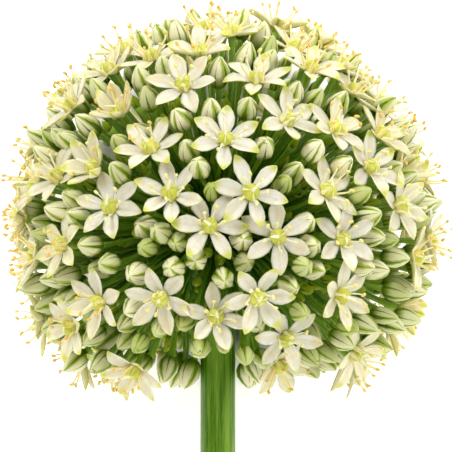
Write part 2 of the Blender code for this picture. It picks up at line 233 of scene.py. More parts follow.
@dataclass
class FlowerPlaces:
    """Every flower's direction, kind and distance from the receptacle, by the rule of the solids.

    The draws follow in a fixed order from one seed. Each array has one row a flower.

    Attributes:
        rays: Its direction from the middle of the receptacle.
        bloom: Whether it is open.
        roots: Where its pedicel leaves the receptacle.
        outside: Distance to the head's outside along its ray.
        fall: How straight down it points, one if it does.
        to_surface: Distance to the surface along its ray.
        pressed: Whether the surface is nearer than the head's outside.
        drop: How far it hangs back from the outside, drawn from 0 to 1.
        cupped: Whether it stays cupped if it is open.
        openness: How far it is open, drawn from 0 to 1.
        leaning: What its face leans by.
        rest: Number of the bud that the head rests on.
    """

    plan: HeadPlan
    lattice: int = 480
    seed: int = 33774
    scatter: float = 0.06
    parting_beside: float = 14.0
    parting_before: float = 58.0
    sparse_within: float = 58.0
    hanging: tuple[float, ...] = (-105, -70, 70, 105)
    hanging_from_scape: float = 16.5
    blooms: int = 106
    spacing_at_top: float = 10.0
    spacing_below: float = 18.0
    no_bloom_by_scape: float = 46.0
    no_bloom_pressed: float = 24.0
    bloom_room: float = 6.8 * MM
    bud_room: float = 3.2 * MM
    spread_steps: int = 40
    spread_pace: float = 0.3
    cupped_share: float = 0.16
    face_jitter: float = 0.12
    root_depth: float = 2.0 * MM
    lowest_root: float = 52.0
    pull_range: float = 2.4

    def __post_init__(self) -> None:
        """Draws every flower's place."""
        plan = self.plan
        rng = np.random.default_rng(self.seed)
        even = self.even_directions(self.lattice, rng)
        rays = unit(even + rng.normal(0, self.scatter, even.shape))
        bloom = self._choose_blooms(rays, rng)
        low = self._hanging_directions()
        even, rays = np.vstack((even, low)), np.vstack((rays, low))
        self.bloom = np.append(bloom, np.zeros(len(low), bool))
        to_rest = unit(plan.head_middle + plan.head_height * plan.down)
        self.rest = int(np.argmax(rays @ to_rest))
        rays[self.rest] = to_rest
        self.rays = self._spread(rays)
        self.roots = self.roots_of(even)
        self.outside = self.reach_of(self.rays)
        self.fall = self.rays @ plan.down
        sloping = np.clip(self.fall, LEAST_FALL, None)
        self.to_surface = np.where(self.fall > 0, plan.receptacle_height / sloping, np.inf)
        self.pressed = self.to_surface < self.outside
        self.drop = rng.uniform(0, 1, len(rays))
        self.cupped = rng.uniform(0, 1, len(rays)) < self.cupped_share
        self.openness = rng.uniform(0, 1, len(rays))
        self.leaning = rng.normal(0, self.face_jitter, rays.shape)

    def even_directions(self, count: int, rng: np.random.Generator) -> np.ndarray:
        """Directions by the golden angle, every other one missing low down and none close to the scape.

        Args:
            count: How many there would be over the whole ball.
            rng: Draws where the spiral starts.

        Returns:
            Unit vectors.
        """
        index = np.arange(count)
        up = 1 - 2 * (index + 0.5) / count
        turn = index * GOLDEN_ANGLE + rng.uniform(0, WHOLE_TURN)
        across = np.sqrt(1 - up**2)
        rays = np.column_stack((across * np.sin(turn), up, across * np.cos(turn)))
        from_scape = np.degrees(np.arccos(-up))
        bare = self.parting_beside + (self.parting_before - self.parting_beside) * np.cos(turn) ** 2
        grows = (from_scape > bare) & ((from_scape > self.sparse_within) | (index % 2 == 0))
        return rays[grows]

    def _hanging_directions(self) -> np.ndarray:
        """Directions of the lowest buds, which hang close to the scape on its left and right.

        Returns:
            Unit vectors.
        """
        tilt, turn = math.radians(self.hanging_from_scape), np.radians(self.hanging)
        level = np.full(len(turn), -math.cos(tilt))
        return np.column_stack((math.sin(tilt) * np.sin(turn), level, math.sin(tilt) * np.cos(turn)))

    def _choose_blooms(self, rays: np.ndarray, rng: np.random.Generator) -> np.ndarray:
        """Which flowers are open: drawn one by one, none beside another.

        Args:
            rays: The flowers' directions.
            rng: Draws their order.

        Returns:
            One truth value a flower.
        """
        allowed = degrees_from(rays, TO_SCAPE) > self.no_bloom_by_scape
        allowed &= degrees_from(rays, self.plan.down) > self.no_bloom_pressed
        closeness = rays @ rays.T
        wider = (self.spacing_below - self.spacing_at_top) * (1 - rays[:, 1]) / 2
        nearest = np.cos(np.radians(self.spacing_at_top + wider))
        bloom = np.zeros(len(rays), bool)
        for k in rng.permutation(len(rays)):
            if bloom.sum() < self.blooms and allowed[k] and not (closeness[k][bloom] > nearest[k]).any():
                bloom[k] = True
        return bloom

    def _spread(self, rays: np.ndarray) -> np.ndarray:
        """Pushes flowers that crowd each other apart, little by little.

        Args:
            rays: The flowers' directions.

        Returns:
            The directions after the last step; the resting flower's is unchanged.
        """
        room = np.where(self.bloom, self.bloom_room, self.bud_room)
        room = room / (self.plan.head_radius - self.plan.stamen_room)
        wanted = room[:, None] + room[None, :]
        itself = np.eye(len(rays))
        for _ in range(self.spread_steps):
            apart = rays[:, None] - rays[None, :]
            distance = np.linalg.norm(apart, axis=2) + itself
            push = np.clip(wanted / distance - 1, 0, None) * (1 - itself)
            move = self.spread_pace * (push[:, :, None] * apart).sum(axis=1)
            move[self.rest] = 0
            rays = unit(rays + move)
        return rays

    def reach_of(self, rays: np.ndarray) -> np.ndarray:
        """Distance from the receptacle to the head's outside: the ball, cut off by a flat cone low down.

        Args:
            rays: Unit vectors.

        Returns:
            One length a ray.
        """
        middle = self.plan.head_middle
        along = rays @ middle
        ball = along + np.sqrt(along**2 - middle @ middle + self.plan.head_radius**2)
        level = self.plan.underside - self.plan.underside_rise * np.hypot(rays[:, 0], rays[:, 2])
        return np.minimum(ball, level / np.clip(-rays[:, 1], LEAST_FALL, None))

    def roots_of(self, rays: np.ndarray) -> np.ndarray:
        """Where the pedicels leave the receptacle, drawn up clear of the scape.

        Args:
            rays: The flowers' directions before they were scattered.

        Returns:
            One point a flower, sunk into the receptacle.
        """
        from_scape = degrees_from(rays, TO_SCAPE)
        share = (from_scape - self.parting_beside) / (180 - self.parting_beside)
        angle = np.radians(self.lowest_root + share * (180 - self.lowest_root))
        out = unit(rays[:, [0, 2]])
        rooted = np.column_stack((np.sin(angle) * out[:, 0], -np.cos(angle), np.sin(angle) * out[:, 1]))
        return rooted * (self.plan.receptacle_radius - self.root_depth)

    def best_turns(self) -> np.ndarray:
        """Turn of each open flower that puts its neighbours in the gaps between its tepals.

        Each neighbour pulls on six times its bearing, the nearer the more and an open one twice as much,
        and the mean bearing then falls half a tepal's step from a tepal.

        Returns:
            One angle in radians for each open flower.
        """
        turns = []
        for k in np.flatnonzero(self.bloom):
            sideways, upward = axes_about(self.rays[k])
            apart = self.rays - self.rays[k]
            distance = np.linalg.norm(apart, axis=1) * self.plan.head_radius
            near = (distance > 0) & (distance < self.pull_range * self.bloom_room)
            bearing = np.arctan2(apart[near] @ upward, apart[near] @ sideways)
            pull = np.exp(-distance[near] / self.bud_room) * np.where(self.bloom[near], 2, 1)
            turns.append((np.angle((pull * np.exp(6j * bearing)).sum()) + math.pi) / len(SIXTHS))
        return np.array(turns)


# ---------------------------------------------------------------- meshes


@dataclass
class Skins:
    """Closed bodies of one make: for each copy, rings of points stacked between two poles.

    Attributes:
        rings: Points as (copies, rows, columns, 3). A ring runs anticlockwise seen from the last pole.
        poles: The first and the last pole, as (copies, 2, 3).
        along: Share of the way from the first pole to the last, one value a row.
        around: Share of the way round or across, one value a column and one more to close the ring.
        marks: Values for the materials, one a copy or one a point.
    """

    rings: np.ndarray
    poles: np.ndarray
    along: np.ndarray
    around: np.ndarray
    marks: Mapping[str, np.ndarray]

    def _corners(self) -> tuple[np.ndarray, np.ndarray, np.ndarray]:
        """Faces of one copy: quads between rings and a fan of triangles at either pole.

        Returns:
            The points' numbers corner by corner, the corners' places in the material's map, and the
            number of corners of each face.
        """
        _, rows, columns, _ = self.rings.shape
        grid = np.meshgrid(np.arange(rows - 1), np.arange(columns), indexing="ij")
        row, column = (numbers.ravel() for numbers in grid)
        after, step = (column + 1) % columns, np.arange(columns)
        next_step = (step + 1) % columns
        here, there = 1 + row * columns, 1 + (row + 1) * columns
        top = 1 + (rows - 1) * columns
        pole = np.zeros(columns, int)
        quads = np.stack((here + column, here + after, there + after, there + column), axis=-1)
        first = np.stack((pole, 1 + next_step, 1 + step), axis=-1)
        last = np.stack((top + step, top + next_step, pole + 1 + rows * columns), axis=-1)
        left, right = self.around[:-1], self.around[1:]
        middle = (left + right) / 2
        below, above = self.along[row], self.along[row + 1]
        low, high = pole + self.along[0], pole + self.along[-1]
        maps = (
            ((left[column], right[column], right[column], left[column]), (below, below, above, above)),
            ((middle, right, left), (pole, low, low)),
            ((left, right, middle), (high, high, pole + 1)),
        )
        pairs = [np.stack((np.stack(u, -1), np.stack(v, -1)), -1).reshape(-1, 2) for u, v in maps]
        places = np.concatenate(pairs)
        numbers = np.concatenate((quads.ravel(), first.ravel(), last.ravel()))
        return numbers, places, np.concatenate((np.full(len(quads), 4), np.full(2 * columns, 3)))

    def build(
        self, name: str, plan: HeadPlan, material: bpy.types.Material, slot: Slot
    ) -> bpy.types.Object:
        """Makes one object of all the copies, laid down and at rest on the surface.

        Args:
            name: The piece's name.
            plan: Lays the flower's frame down.
            material: The piece's only material.
            slot: Not used.

        Returns:
            The object, riding on the flower's body.
        """
        copies, rows, columns, _ = self.rings.shape
        inner = self.rings.reshape(copies, rows * columns, 3)
        points = np.concatenate((self.poles[:, :1], inner, self.poles[:, 1:]), axis=1)
        size = points.shape[1]
        world = plan.to_world(points).reshape(-1, 3)
        world[:, 2] = np.maximum(world[:, 2], 0)
        numbers, places, sides = self._corners()
        corners = (numbers[None] + size * np.arange(copies)[:, None]).ravel()
        starts = np.concatenate(([0], np.cumsum(np.tile(sides, copies))[:-1]))
        mesh = bpy.data.meshes.new(name)
        mesh.vertices.add(len(world))
        mesh.vertices.foreach_set("co", world.ravel())
        mesh.loops.add(len(corners))
        mesh.loops.foreach_set("vertex_index", corners.astype(np.int32))
        mesh.polygons.add(len(starts))
        mesh.polygons.foreach_set("loop_start", starts.astype(np.int32))
        mesh.uv_layers.new(name="Surface").data.foreach_set("uv", np.tile(places, (copies, 1)).ravel())
        for mark, values in self.marks.items():
            spread = np.broadcast_to(values.reshape(copies, -1), (copies, size))
            layer = mesh.attributes.new(mark, "FLOAT", "POINT")
            layer.data.foreach_set("value", spread.astype(np.float32).ravel())
        mesh.update(calc_edges=True)
        mesh.shade_smooth()
        mesh.materials.append(material)
        piece = bpy.data.objects.new(name, mesh)
        bpy.context.scene.collection.objects.link(piece)
        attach(piece, "root")
        LOG.info("%s: %d copies, %d faces", name, copies, len(starts))
        return piece


def bezier(controls: Sequence[np.ndarray], share: np.ndarray) -> np.ndarray:
    """Points of cubic Bezier curves: the four control points weighed by the Bernstein polynomials.

    Args:
        controls: The first to the fourth control points, one row a curve.
        share: Shares of the way at which points are wanted.

    Returns:
        Points as (curves, shares, 3).
    """
    s = share[None, :, None]
    a, b, c, d = (p[:, None, :] for p in controls)
    return (1 - s) ** 3 * a + 3 * s * (1 - s) ** 2 * b + 3 * s**2 * (1 - s) * c + s**3 * d


def round_tubes(paths: np.ndarray, radii: np.ndarray, columns: int) -> tuple[np.ndarray, np.ndarray]:
    """Round tubes along paths, closed at their ends.

    The ring at path point p is p + r (cos(a) n + sin(a) b), with n and b square to the path.

    Args:
        paths: Points as (copies, rows, 3).
        radii: The radius at each row, as (copies, rows) or (rows,).
        columns: Points of a ring.

    Returns:
        Rings as (copies, rows, columns, 3) and poles as (copies, 2, 3).
    """
    tangent = unit(np.gradient(paths, axis=1))
    side, _ = axes_about(unit(paths[:, -1] - paths[:, 0]))
    side = side[:, None, :] - tangent * np.sum(side[:, None, :] * tangent, axis=-1, keepdims=True)
    normal = unit(side)
    binormal = np.cross(tangent, normal)
    spoke, _ = turned(normal[:, :, None], binormal[:, :, None], ring_angles(columns)[:-1])
    rings = paths[:, :, None, :] + np.broadcast_to(radii, paths.shape[:2])[:, :, None, None] * spoke
    return rings, paths[:, [0, -1]]


# ---------------------------------------------------------------- materials


def feed(node: bpy.types.Node, inputs: Mapping[str | int, object]) -> None:
    """Gives each named or numbered input its value, or a link from the output that feeds it.

    Args:
        node: The node.
        inputs: A value, or the output that feeds it, for each input by its name or number.
    """
    for key, value in inputs.items():
        if isinstance(value, Socket):
            node.id_data.links.new(value, node.inputs[key])
        else:
            node.inputs[key].default_value = value


def add(
    tree: bpy.types.NodeTree,
    kind: str,
    inputs: Mapping[str | int, object] | None = None,
    **settings: object,
) -> bpy.types.Node:
    """Adds a node with its settings, values and links.

    Args:
        tree: The material's nodes.
        kind: The node's type.
        inputs: A value, or the output that feeds it, for each input by its name or number.
        **settings: Properties of the node itself.

    Returns:
        The node.
    """
    node = tree.nodes.new(kind)
    for name, value in settings.items():
        setattr(node, name, value)
    feed(node, inputs or {})
    return node


@dataclass
class Brush:
    """Shorthand for the few sums that the finishes share, on one material's nodes."""

    tree: bpy.types.NodeTree

    @classmethod
    def on_new(cls, name: str) -> tuple["Brush", bpy.types.Material, bpy.types.Node]:
        """A brush on a new material, the material, and its Principled shader.

        Args:
            name: The material's name.

        Returns:
            The brush, the material and its Principled shader.
        """
        material = bpy.data.materials.new(name)
        material.use_nodes = True
        return cls(material.node_tree), material, material.node_tree.nodes["Principled BSDF"]

    def mark(self, name: str) -> Socket:
        """A mark of the piece's own mesh."""
        return add(self.tree, "ShaderNodeAttribute", attribute_name=name).outputs["Fac"]

    def surface(self) -> tuple[Socket, Socket]:
        """Place across or around the piece, and along it, both from 0 to 1.

        Returns:
            The two places, as outputs of nodes.
        """
        place = add(self.tree, "ShaderNodeUVMap", uv_map="Surface")
        split = add(self.tree, "ShaderNodeSeparateXYZ", {0: place.outputs[0]})
        return split.outputs[0], split.outputs[1]

    def sum(self, operation: str, *values: object) -> Socket:
        """One Math node on these values."""
        return add(self.tree, "ShaderNodeMath", dict(enumerate(values)), operation=operation).outputs[0]

    def times(self, one: object, other: object) -> Socket:
        """The product of two values."""
        return self.sum("MULTIPLY", one, other)

    def most(self, one: object, other: object) -> Socket:
        """The greater of two values."""
        return self.sum("MAXIMUM", one, other)

    def line(self, value: object, slope: float, start: object) -> Socket:
        """The start plus the value times the slope."""
        return self.sum("MULTIPLY_ADD", value, slope, start)

    def from_rib(self, around: object, ribs: float) -> Socket:
        """Distance round the piece from the nearest of its ribs: zero on one and a half between two."""
        turn = self.sum("FRACT", self.line(around, ribs, 0.5))
        return self.sum("ABSOLUTE", self.sum("SUBTRACT", turn, 0.5))

    def chance(self, seed: object) -> Socket:
        """A random value from 0 to 1 for each seed."""
        noise = add(self.tree, "ShaderNodeTexWhiteNoise", {"W": seed}, noise_dimensions="1D")
        return noise.outputs["Value"]

    def step(self, value: object, low: object, high: object, top: object = 1.0) -> Socket:
        """Zero at low, top at high, and an S-shaped way between them."""
        ends = {"Value": value, "From Min": low, "From Max": high, "To Min": 0.0, "To Max": top}
        return add(self.tree, "ShaderNodeMapRange", ends, interpolation_type="SMOOTHSTEP").outputs[0]

    def mix(self, share: object, ground: object, over: object) -> Socket:
        """The ground colour with this share of the other over it.

        Args:
            share: From 0 to 1.
            ground: A colour, as an output or as sRGB hex.
            over: The other colour, in the same way.

        Returns:
            The mixed colour.
        """
        ground, over = (linear(colour) if isinstance(colour, str) else colour for colour in (ground, over))
        inputs = {0: share, 6: ground, 7: over}
        return add(self.tree, "ShaderNodeMix", inputs, data_type="RGBA", clamp_factor=True).outputs[2]

    def noise(self, place: Socket, scale: float) -> Socket:
        """Soft noise from 0 to 1."""
        inputs = {"Vector": place, "Scale": scale, "Detail": 2.0}
        return add(self.tree, "ShaderNodeTexNoise", inputs).outputs[0]

    def streaks(self, across: object, along: object, counts: Pair) -> Socket:
        """Noise drawn out along the piece: how many streaks across it, and pieces of them along it."""
        sides = {0: self.times(across, counts[0]), 1: self.times(along, counts[1])}
        return self.noise(add(self.tree, "ShaderNodeCombineXYZ", sides).outputs[0], 1.0)

    def mottle(self, size: float) -> Socket:
        """Noise with spots of this size in metres, fixed to the object."""
        return self.noise(add(self.tree, "ShaderNodeTexCoord").outputs["Object"], 1 / size)


@dataclass(frozen=True)
class PlantTissue:
    """A living plant surface: a waxy skin over moist tissue that light soaks into.

    A finish's pair of values is a number of streaks across the piece and one of their lengths along it.

    Attributes:
        name: The material's name.
        roughness: Of the skin.
        gloss: Strength of its reflection, a half for a bare cuticle and less under a waxy bloom.
        soak: Share of the light that enters the tissue.
        depth: How far that light wanders, in metres.
        relief: Height of the fine relief, in metres.
    """

    name: str
    roughness: float
    gloss: float = 0.3
    soak: float = 0.0
    depth: float = 1.0 * MM
    relief: float = 0.0

    def paint(self, brush: Brush) -> Painted:
        """Colour and relief of the surface.

        Args:
            brush: Works on the material's nodes.

        Returns:
            The colour, and the height of the relief from 0 to 1 or None.
        """
        raise NotImplementedError

    def material(self) -> bpy.types.Material:
        """Makes the material, a Principled shader fed with the finish's own colour and relief.

        Returns:
            The material.
        """
        brush, material, shader = Brush.on_new(self.name)
        colour, height = self.paint(brush)
        feed(shader, {
            "Base Color": colour,
            "Roughness": self.roughness,
            "IOR": CUTICLE_IOR,
            "Specular IOR Level": self.gloss,
            "Subsurface Weight": self.soak,
            "Subsurface Scale": self.depth,
            "Subsurface Radius": TISSUE_REACH,
        })
        if height is not None:
            relief = {"Height": height, "Distance": self.relief, "Strength": 1.0}
            feed(shader, {"Normal": add(brush.tree, "ShaderNodeBump", relief).outputs[0]})
        return material


@dataclass(frozen=True)
class TepalSkin(PlantTissue):
    """Petal tissue: thin, waxy white with a satin look, that lets light through.

    Cream where it is ripe, with peach patches on the oldest, yellow-green at a fresh one's tip and along
    the margin, and a green midrib outside.
    """

    white: str = "#F3EBE0"
    blush: str = "#EADCC8"
    peach: str = "#F4D6AC"
    cream: str = "#F6E8B4"
    tip_green: str = "#CACF54"
    rib_green: str = "#84972C"
    veins: Pair = (9.0, 1.6)

    def paint(self, brush: Brush) -> Painted:
        """Streaked white, with the green laid over it by place.

        Args:
            brush: Works on the material's nodes.

        Returns:
            The colour, and the height of the relief from 0 to 1 or None.
        """
        across, along = brush.surface()
        tint, fresh, outer = brush.mark("tint"), brush.mark("fresh"), brush.mark("outer")
        from_rib = brush.sum("ABSOLUTE", brush.line(across, 2.0, -1.0))
        streak = brush.streaks(across, along, self.veins)
        ground = brush.mix(brush.step(brush.mottle(2.5 * MM), 0.4, 0.65, 0.8), self.white, self.blush)
        ground = brush.mix(tint, ground, self.cream)
        ground = brush.mix(brush.step(streak, 0.45, 0.7, 0.2), ground, self.cream)
        old = brush.times(brush.step(fresh, 0.35, 0.0, 0.7), brush.step(brush.mottle(4.0 * MM), 0.42, 0.58))
        ground = brush.mix(brush.times(old, brush.step(along, 0.35, 0.75)), ground, self.peach)
        reach = brush.line(fresh, 0.16, along)
        tip = brush.step(brush.line(streak, 0.20, reach), 0.92, 1.16, 0.95)
        margin = brush.times(brush.step(from_rib, 0.72, 1.0, 0.7), brush.step(along, 0.2, 0.7))
        foot = brush.step(along, 0.24, 0.02, 0.7)
        green = brush.most(brush.most(tip, margin), foot)
        ground = brush.mix(green, ground, self.tip_green)
        rib = brush.step(from_rib, 0.26, 0.06)
        shown = brush.times(rib, brush.step(outer, 0.45, 0.75, 0.6))
        faint = brush.times(rib, 0.08)
        return brush.mix(brush.most(shown, faint), ground, self.rib_green), streak


@dataclass(frozen=True)
class BudSkin(PlantTissue):
    """Closed tepals of a bud: waxy cream, with a green midrib in each of the six grooves."""

    white: str = "#FBF5DA"
    blush: str = "#E9E5A8"
    green: str = "#9AB01A"
    base: str = "#628006"
    stripe: str = "#6A8C0A"
    dark_stripe: str = "#345A02"
    edge: str = "#203A02"
    speck: str = "#3A2F18"
    ribs: float = 6.0
    veins: Pair = (40.0, 2.2)
    specks: Pair = (16.0, 14.0)
    rib_seeds: float = 97.0

    def paint(self, brush: Brush) -> Painted:
        """Cream to green by age, six dark-edged stripes that narrow to the tip, and a few specks.

        The place across a stripe is the distance from its middle, zero there and a half between two. The
        three outer tepals have the broad stripes, what shows of the inner ones has narrow ones, and
        each stripe has a width of its own.

        Args:
            brush: Works on the material's nodes.

        Returns:
            The colour, and the height of the relief from 0 to 1 or None.
        """
        around, along = brush.surface()
        youth, strong, specked = brush.mark("youth"), brush.mark("strong"), brush.mark("specked")
        streak = brush.streaks(around, along, self.veins)
        off = brush.from_rib(around, self.ribs)
        low = brush.line(streak, 0.25, along)
        off_outer = brush.from_rib(around, self.ribs / 2)
        reach = brush.line(strong, 0.26, 0.08)
        beside = brush.step(brush.line(streak, -0.12, off_outer), reach, 0.02, 0.92)
        flush = brush.most(beside, brush.step(low, 0.75, 0.20, 0.95))
        green = brush.most(flush, youth)
        ground = brush.mix(brush.step(streak, 0.55, 0.3, 0.6), self.white, self.blush)
        ground = brush.mix(green, ground, self.green)
        ground = brush.mix(brush.step(low, 0.50, 0.12, 0.85), ground, self.base)
        wide = brush.line(brush.step(along, 0.85, 0.1), 0.14, 0.035)
        wide = brush.times(wide, brush.line(strong, 0.7, 0.8))
        rib = brush.sum("MODULO", brush.sum("FLOOR", brush.line(around, self.ribs, 0.5)), self.ribs)
        own = brush.chance(brush.line(strong, self.rib_seeds, rib))
        wide = brush.times(wide, brush.line(own, 0.9, 0.55))
        inner = brush.step(off_outer, 0.18, 0.32)
        wide = brush.times(wide, brush.line(inner, -0.75, 1.3))
        ragged = brush.line(streak, 0.06, brush.sum("SUBTRACT", wide, 0.025))
        stripe = brush.step(off, ragged, brush.times(ragged, 0.75))
        border = brush.step(off, brush.times(wide, 0.35), brush.times(wide, 0.75))
        border = brush.times(border, brush.line(strong, 0.2, 0.8))
        tone = brush.mix(strong, self.stripe, self.dark_stripe)
        tone = brush.mix(border, tone, self.edge)
        kept = brush.most(brush.step(along, 1.0, 0.72, 0.9), brush.step(strong, 0.3, 0.9, 0.9))
        skin = brush.mix(brush.times(stripe, kept), ground, tone)
        spots = brush.step(brush.streaks(around, along, self.specks), 0.60, 0.66)
        near_tip = brush.times(brush.step(along, 0.80, 0.90), specked)
        return brush.mix(brush.times(spots, near_tip), skin, self.speck), streak


@dataclass(frozen=True)
class PedicelSkin(PlantTissue):
    """Smooth green stalk tissue: satin, paler under the flower and darker towards the receptacle, partly
    its own colour and partly painted shade deep in the head.
    """

    light: str = "#9ABE3C"
    green: str = "#548E16"
    deep: str = "#306008"
    veins: Pair = (9.0, 3.0)

    def paint(self, brush: Brush) -> Painted:
        """Green by the place along the stalk, with long faint streaks.

        Args:
            brush: Works on the material's nodes.

        Returns:
            The colour, and the height of the relief from 0 to 1 or None.
        """
        around, along = brush.surface()
        tint = brush.mark("tint")
        body = brush.mix(tint, self.green, self.deep)
        # paler towards the flower: partly the stalk's own colour, partly painted shade that keeps it darker
        # deep in the head
        body = brush.mix(brush.step(along, 0.4, 1.0, 0.75), body, self.light)
        streak = brush.streaks(around, along, self.veins)
        return brush.mix(brush.step(streak, 0.4, 0.65, 0.35), body, self.light), None


@dataclass(frozen=True)
class OvarySkin(PlantTissue):
    """Glossy swollen ovary: bright lime, greener beside its three pale ridges, with a pale style."""

    bright: str = "#E0E074"
    green: str = "#B4BC30"
    collar: str = "#E6E48E"
    ridge: str = "#F0F0B4"
    style: str = "#F6F3D2"
    ribs: float = 3.0

    def paint(self, brush: Brush) -> Painted:
        """Lime by a soft mottle, green towards the top, the ridges, the collar and the style pale.

        Args:
            brush: Works on the material's nodes.

        Returns:
            The colour, and the height of the relief from 0 to 1 or None.
        """
        around, along = brush.surface()
        tint, ridged = brush.mark("tint"), brush.mark("ridged")
        body = brush.mix(brush.times(tint, 0.5), self.bright, self.green)
        body = brush.mix(brush.step(brush.mottle(1.2 * MM), 0.45, 0.7, 0.3), body, self.green)
        off = brush.from_rib(around, self.ribs)
        high = brush.step(along, 0.30, 0.52)
        beside = brush.times(brush.step(off, 0.36, 0.10, 0.8), high)
        body = brush.mix(beside, body, self.green)
        ridge = brush.times(brush.step(off, 0.11, 0.05), brush.times(high, ridged))
        body = brush.mix(ridge, body, self.ridge)
        body = brush.mix(brush.step(along, 0.30, 0.14, 0.8), body, self.collar)
        return brush.mix(brush.step(along, 0.62, 0.70), body, self.style), None


@dataclass(frozen=True)
class FilamentSkin(PlantTissue):
    """Stamen stalk: watery white, creamy when ripe and faintly green at its foot."""

    white: str = "#F5F0D8"
    cream: str = "#F5E6AC"
    foot: str = "#DDE07C"

    def paint(self, brush: Brush) -> Painted:
        """White, mixed with green at the foot.

        Args:
            brush: Works on the material's nodes.

        Returns:
            The colour, and the height of the relief from 0 to 1 or None.
        """
        _, along = brush.surface()
        body = brush.mix(brush.step(brush.mark("tint"), 0.1, 0.7), self.white, self.cream)
        return brush.mix(brush.step(along, 0.35, 0.0), body, self.foot), None


@dataclass(frozen=True)
class AntherSkin(PlantTissue):
    """Anther dusted with pollen: matt, from pale yellow to orange-yellow."""

    pale: str = "#F3EDA8"
    orange: str = "#F0BE58"

    def paint(self, brush: Brush) -> Painted:
        """Yellow by age, with grains of pollen a fifth of a millimetre wide, coarse enough to show.

        Args:
            brush: Works on the material's nodes.

        Returns:
            The colour, and the height of the relief from 0 to 1 or None.
        """
        grains = brush.mottle(0.2 * MM)
        body = brush.mix(brush.mark("tint"), self.pale, self.orange)
        return brush.mix(brush.step(grains, 0.4, 0.65, 0.4), body, self.pale), grains


@dataclass(frozen=True)
class ScapeSkin(PlantTissue):
    """Flower stem: a firm green cuticle with a slight bloom and fine lengthwise ribs; pale pith inside."""

    light: str = "#A0C648"
    green: str = "#64931C"
    deep: str = "#3F700E"
    pith: str = "#DDE6B8"
    ribs: Pair = (52.0, 8.0)
    bands: Pair = (14.0, 3.0)
    flecks: Pair = (90.0, 36.0)

    def paint(self, brush: Brush) -> Painted:
        """Green streaks 0.6 mm apart round the stem, and the pith where the mark says so.

        Args:
            brush: Works on the material's nodes.

        Returns:
            The colour, and the height of the relief from 0 to 1 or None.
        """
        around, along = brush.surface()
        fine = brush.streaks(around, along, self.ribs)
        broad = brush.streaks(around, along, self.bands)
        flecks = brush.streaks(around, along, self.flecks)
        body = brush.mix(brush.step(fine, 0.35, 0.65), self.deep, self.green)
        body = brush.mix(brush.step(broad, 0.4, 0.62, 0.55), body, self.light)
        body = brush.mix(brush.step(flecks, 0.5, 0.68, 0.25), body, self.light)
        body = brush.mix(brush.step(flecks, 0.45, 0.32, 0.25), body, self.deep)
        return brush.mix(brush.mark("pith"), body, self.pith), fine


# ---------------------------------------------------------------- the sub-assemblies


@dataclass
class OpenFlowers:
    """Places of the open flowers, as arrays with one row a flower.

    Attributes:
        numbers: Which of all the flowers they are.
        rise: How far the tepals rise, in radians.
        middle: Where the tepals leave the flower's axis.
        axis: The way that the flower faces. A tepal lies sideways of it; upward is square to both.
        ripe: From 0 to 1, the ripest round the rim.
    """

    plan: HeadPlan
    places: FlowerPlaces
    bloom_drop: float = 2.5 * MM
    side_press: float = 0.5 * MM
    near_surface: float = 0.4
    ripening: Pair = (0.45, 0.95)  # where it starts and ends, from the head's front to its rim

    def __post_init__(self) -> None:
        """Works the places out as for the solids."""
        plan, places = self.plan, self.places
        k = self.numbers = np.flatnonzero(places.bloom)
        wide, cupped = np.array(Opening.WIDE.value), np.array(Opening.CUPPED.value)
        ends = np.where(places.cupped[k, None], cupped, wide)
        self.rise = np.radians(ends[:, 0] + (ends[:, 1] - ends[:, 0]) * places.openness[k])
        tallest = np.maximum(plan.stamen_room, plan.tepal_length * np.sin(self.rise))
        out = places.outside[k] - tallest - self.bloom_drop * places.drop[k]
        fall = places.fall[k]
        lowest = plan.tepal_length * np.sin(np.arccos(fall) + self.rise)
        steep = np.clip(fall, self.near_surface, None)
        held = (plan.receptacle_height - lowest - self.side_press) / steep
        out = np.where(fall > self.near_surface, np.minimum(out, held), out)
        self.middle = places.rays[k] * out[:, None]
        self.axis = unit(places.rays[k] + places.leaning[k])
        self.sideways, self.upward = turned(*axes_about(self.axis), places.best_turns())
        self.ripe = smooth_step(*self.ripening, np.hypot(self.axis[:, 0], self.axis[:, 1]))


@dataclass
class Piece:
    """One named piece of the head: many copies of a small closed body in one finish.

    A pair with a plural name holds the mean and the spread of a normal draw, or the ends of an even one.
    """

    plan: HeadPlan

    def skins(self) -> Skins:
        """Works the points of all the copies out."""
        raise NotImplementedError

    def build(self, name: str, finish: PlantTissue) -> bpy.types.Object:
        """Makes the piece.

        Args:
            name: The piece's name.
            finish: Its finish.

        Returns:
            One object with all the copies.
        """
        return self.skins().build(name, self.plan, finish.material(), Slot.FLOWERS)


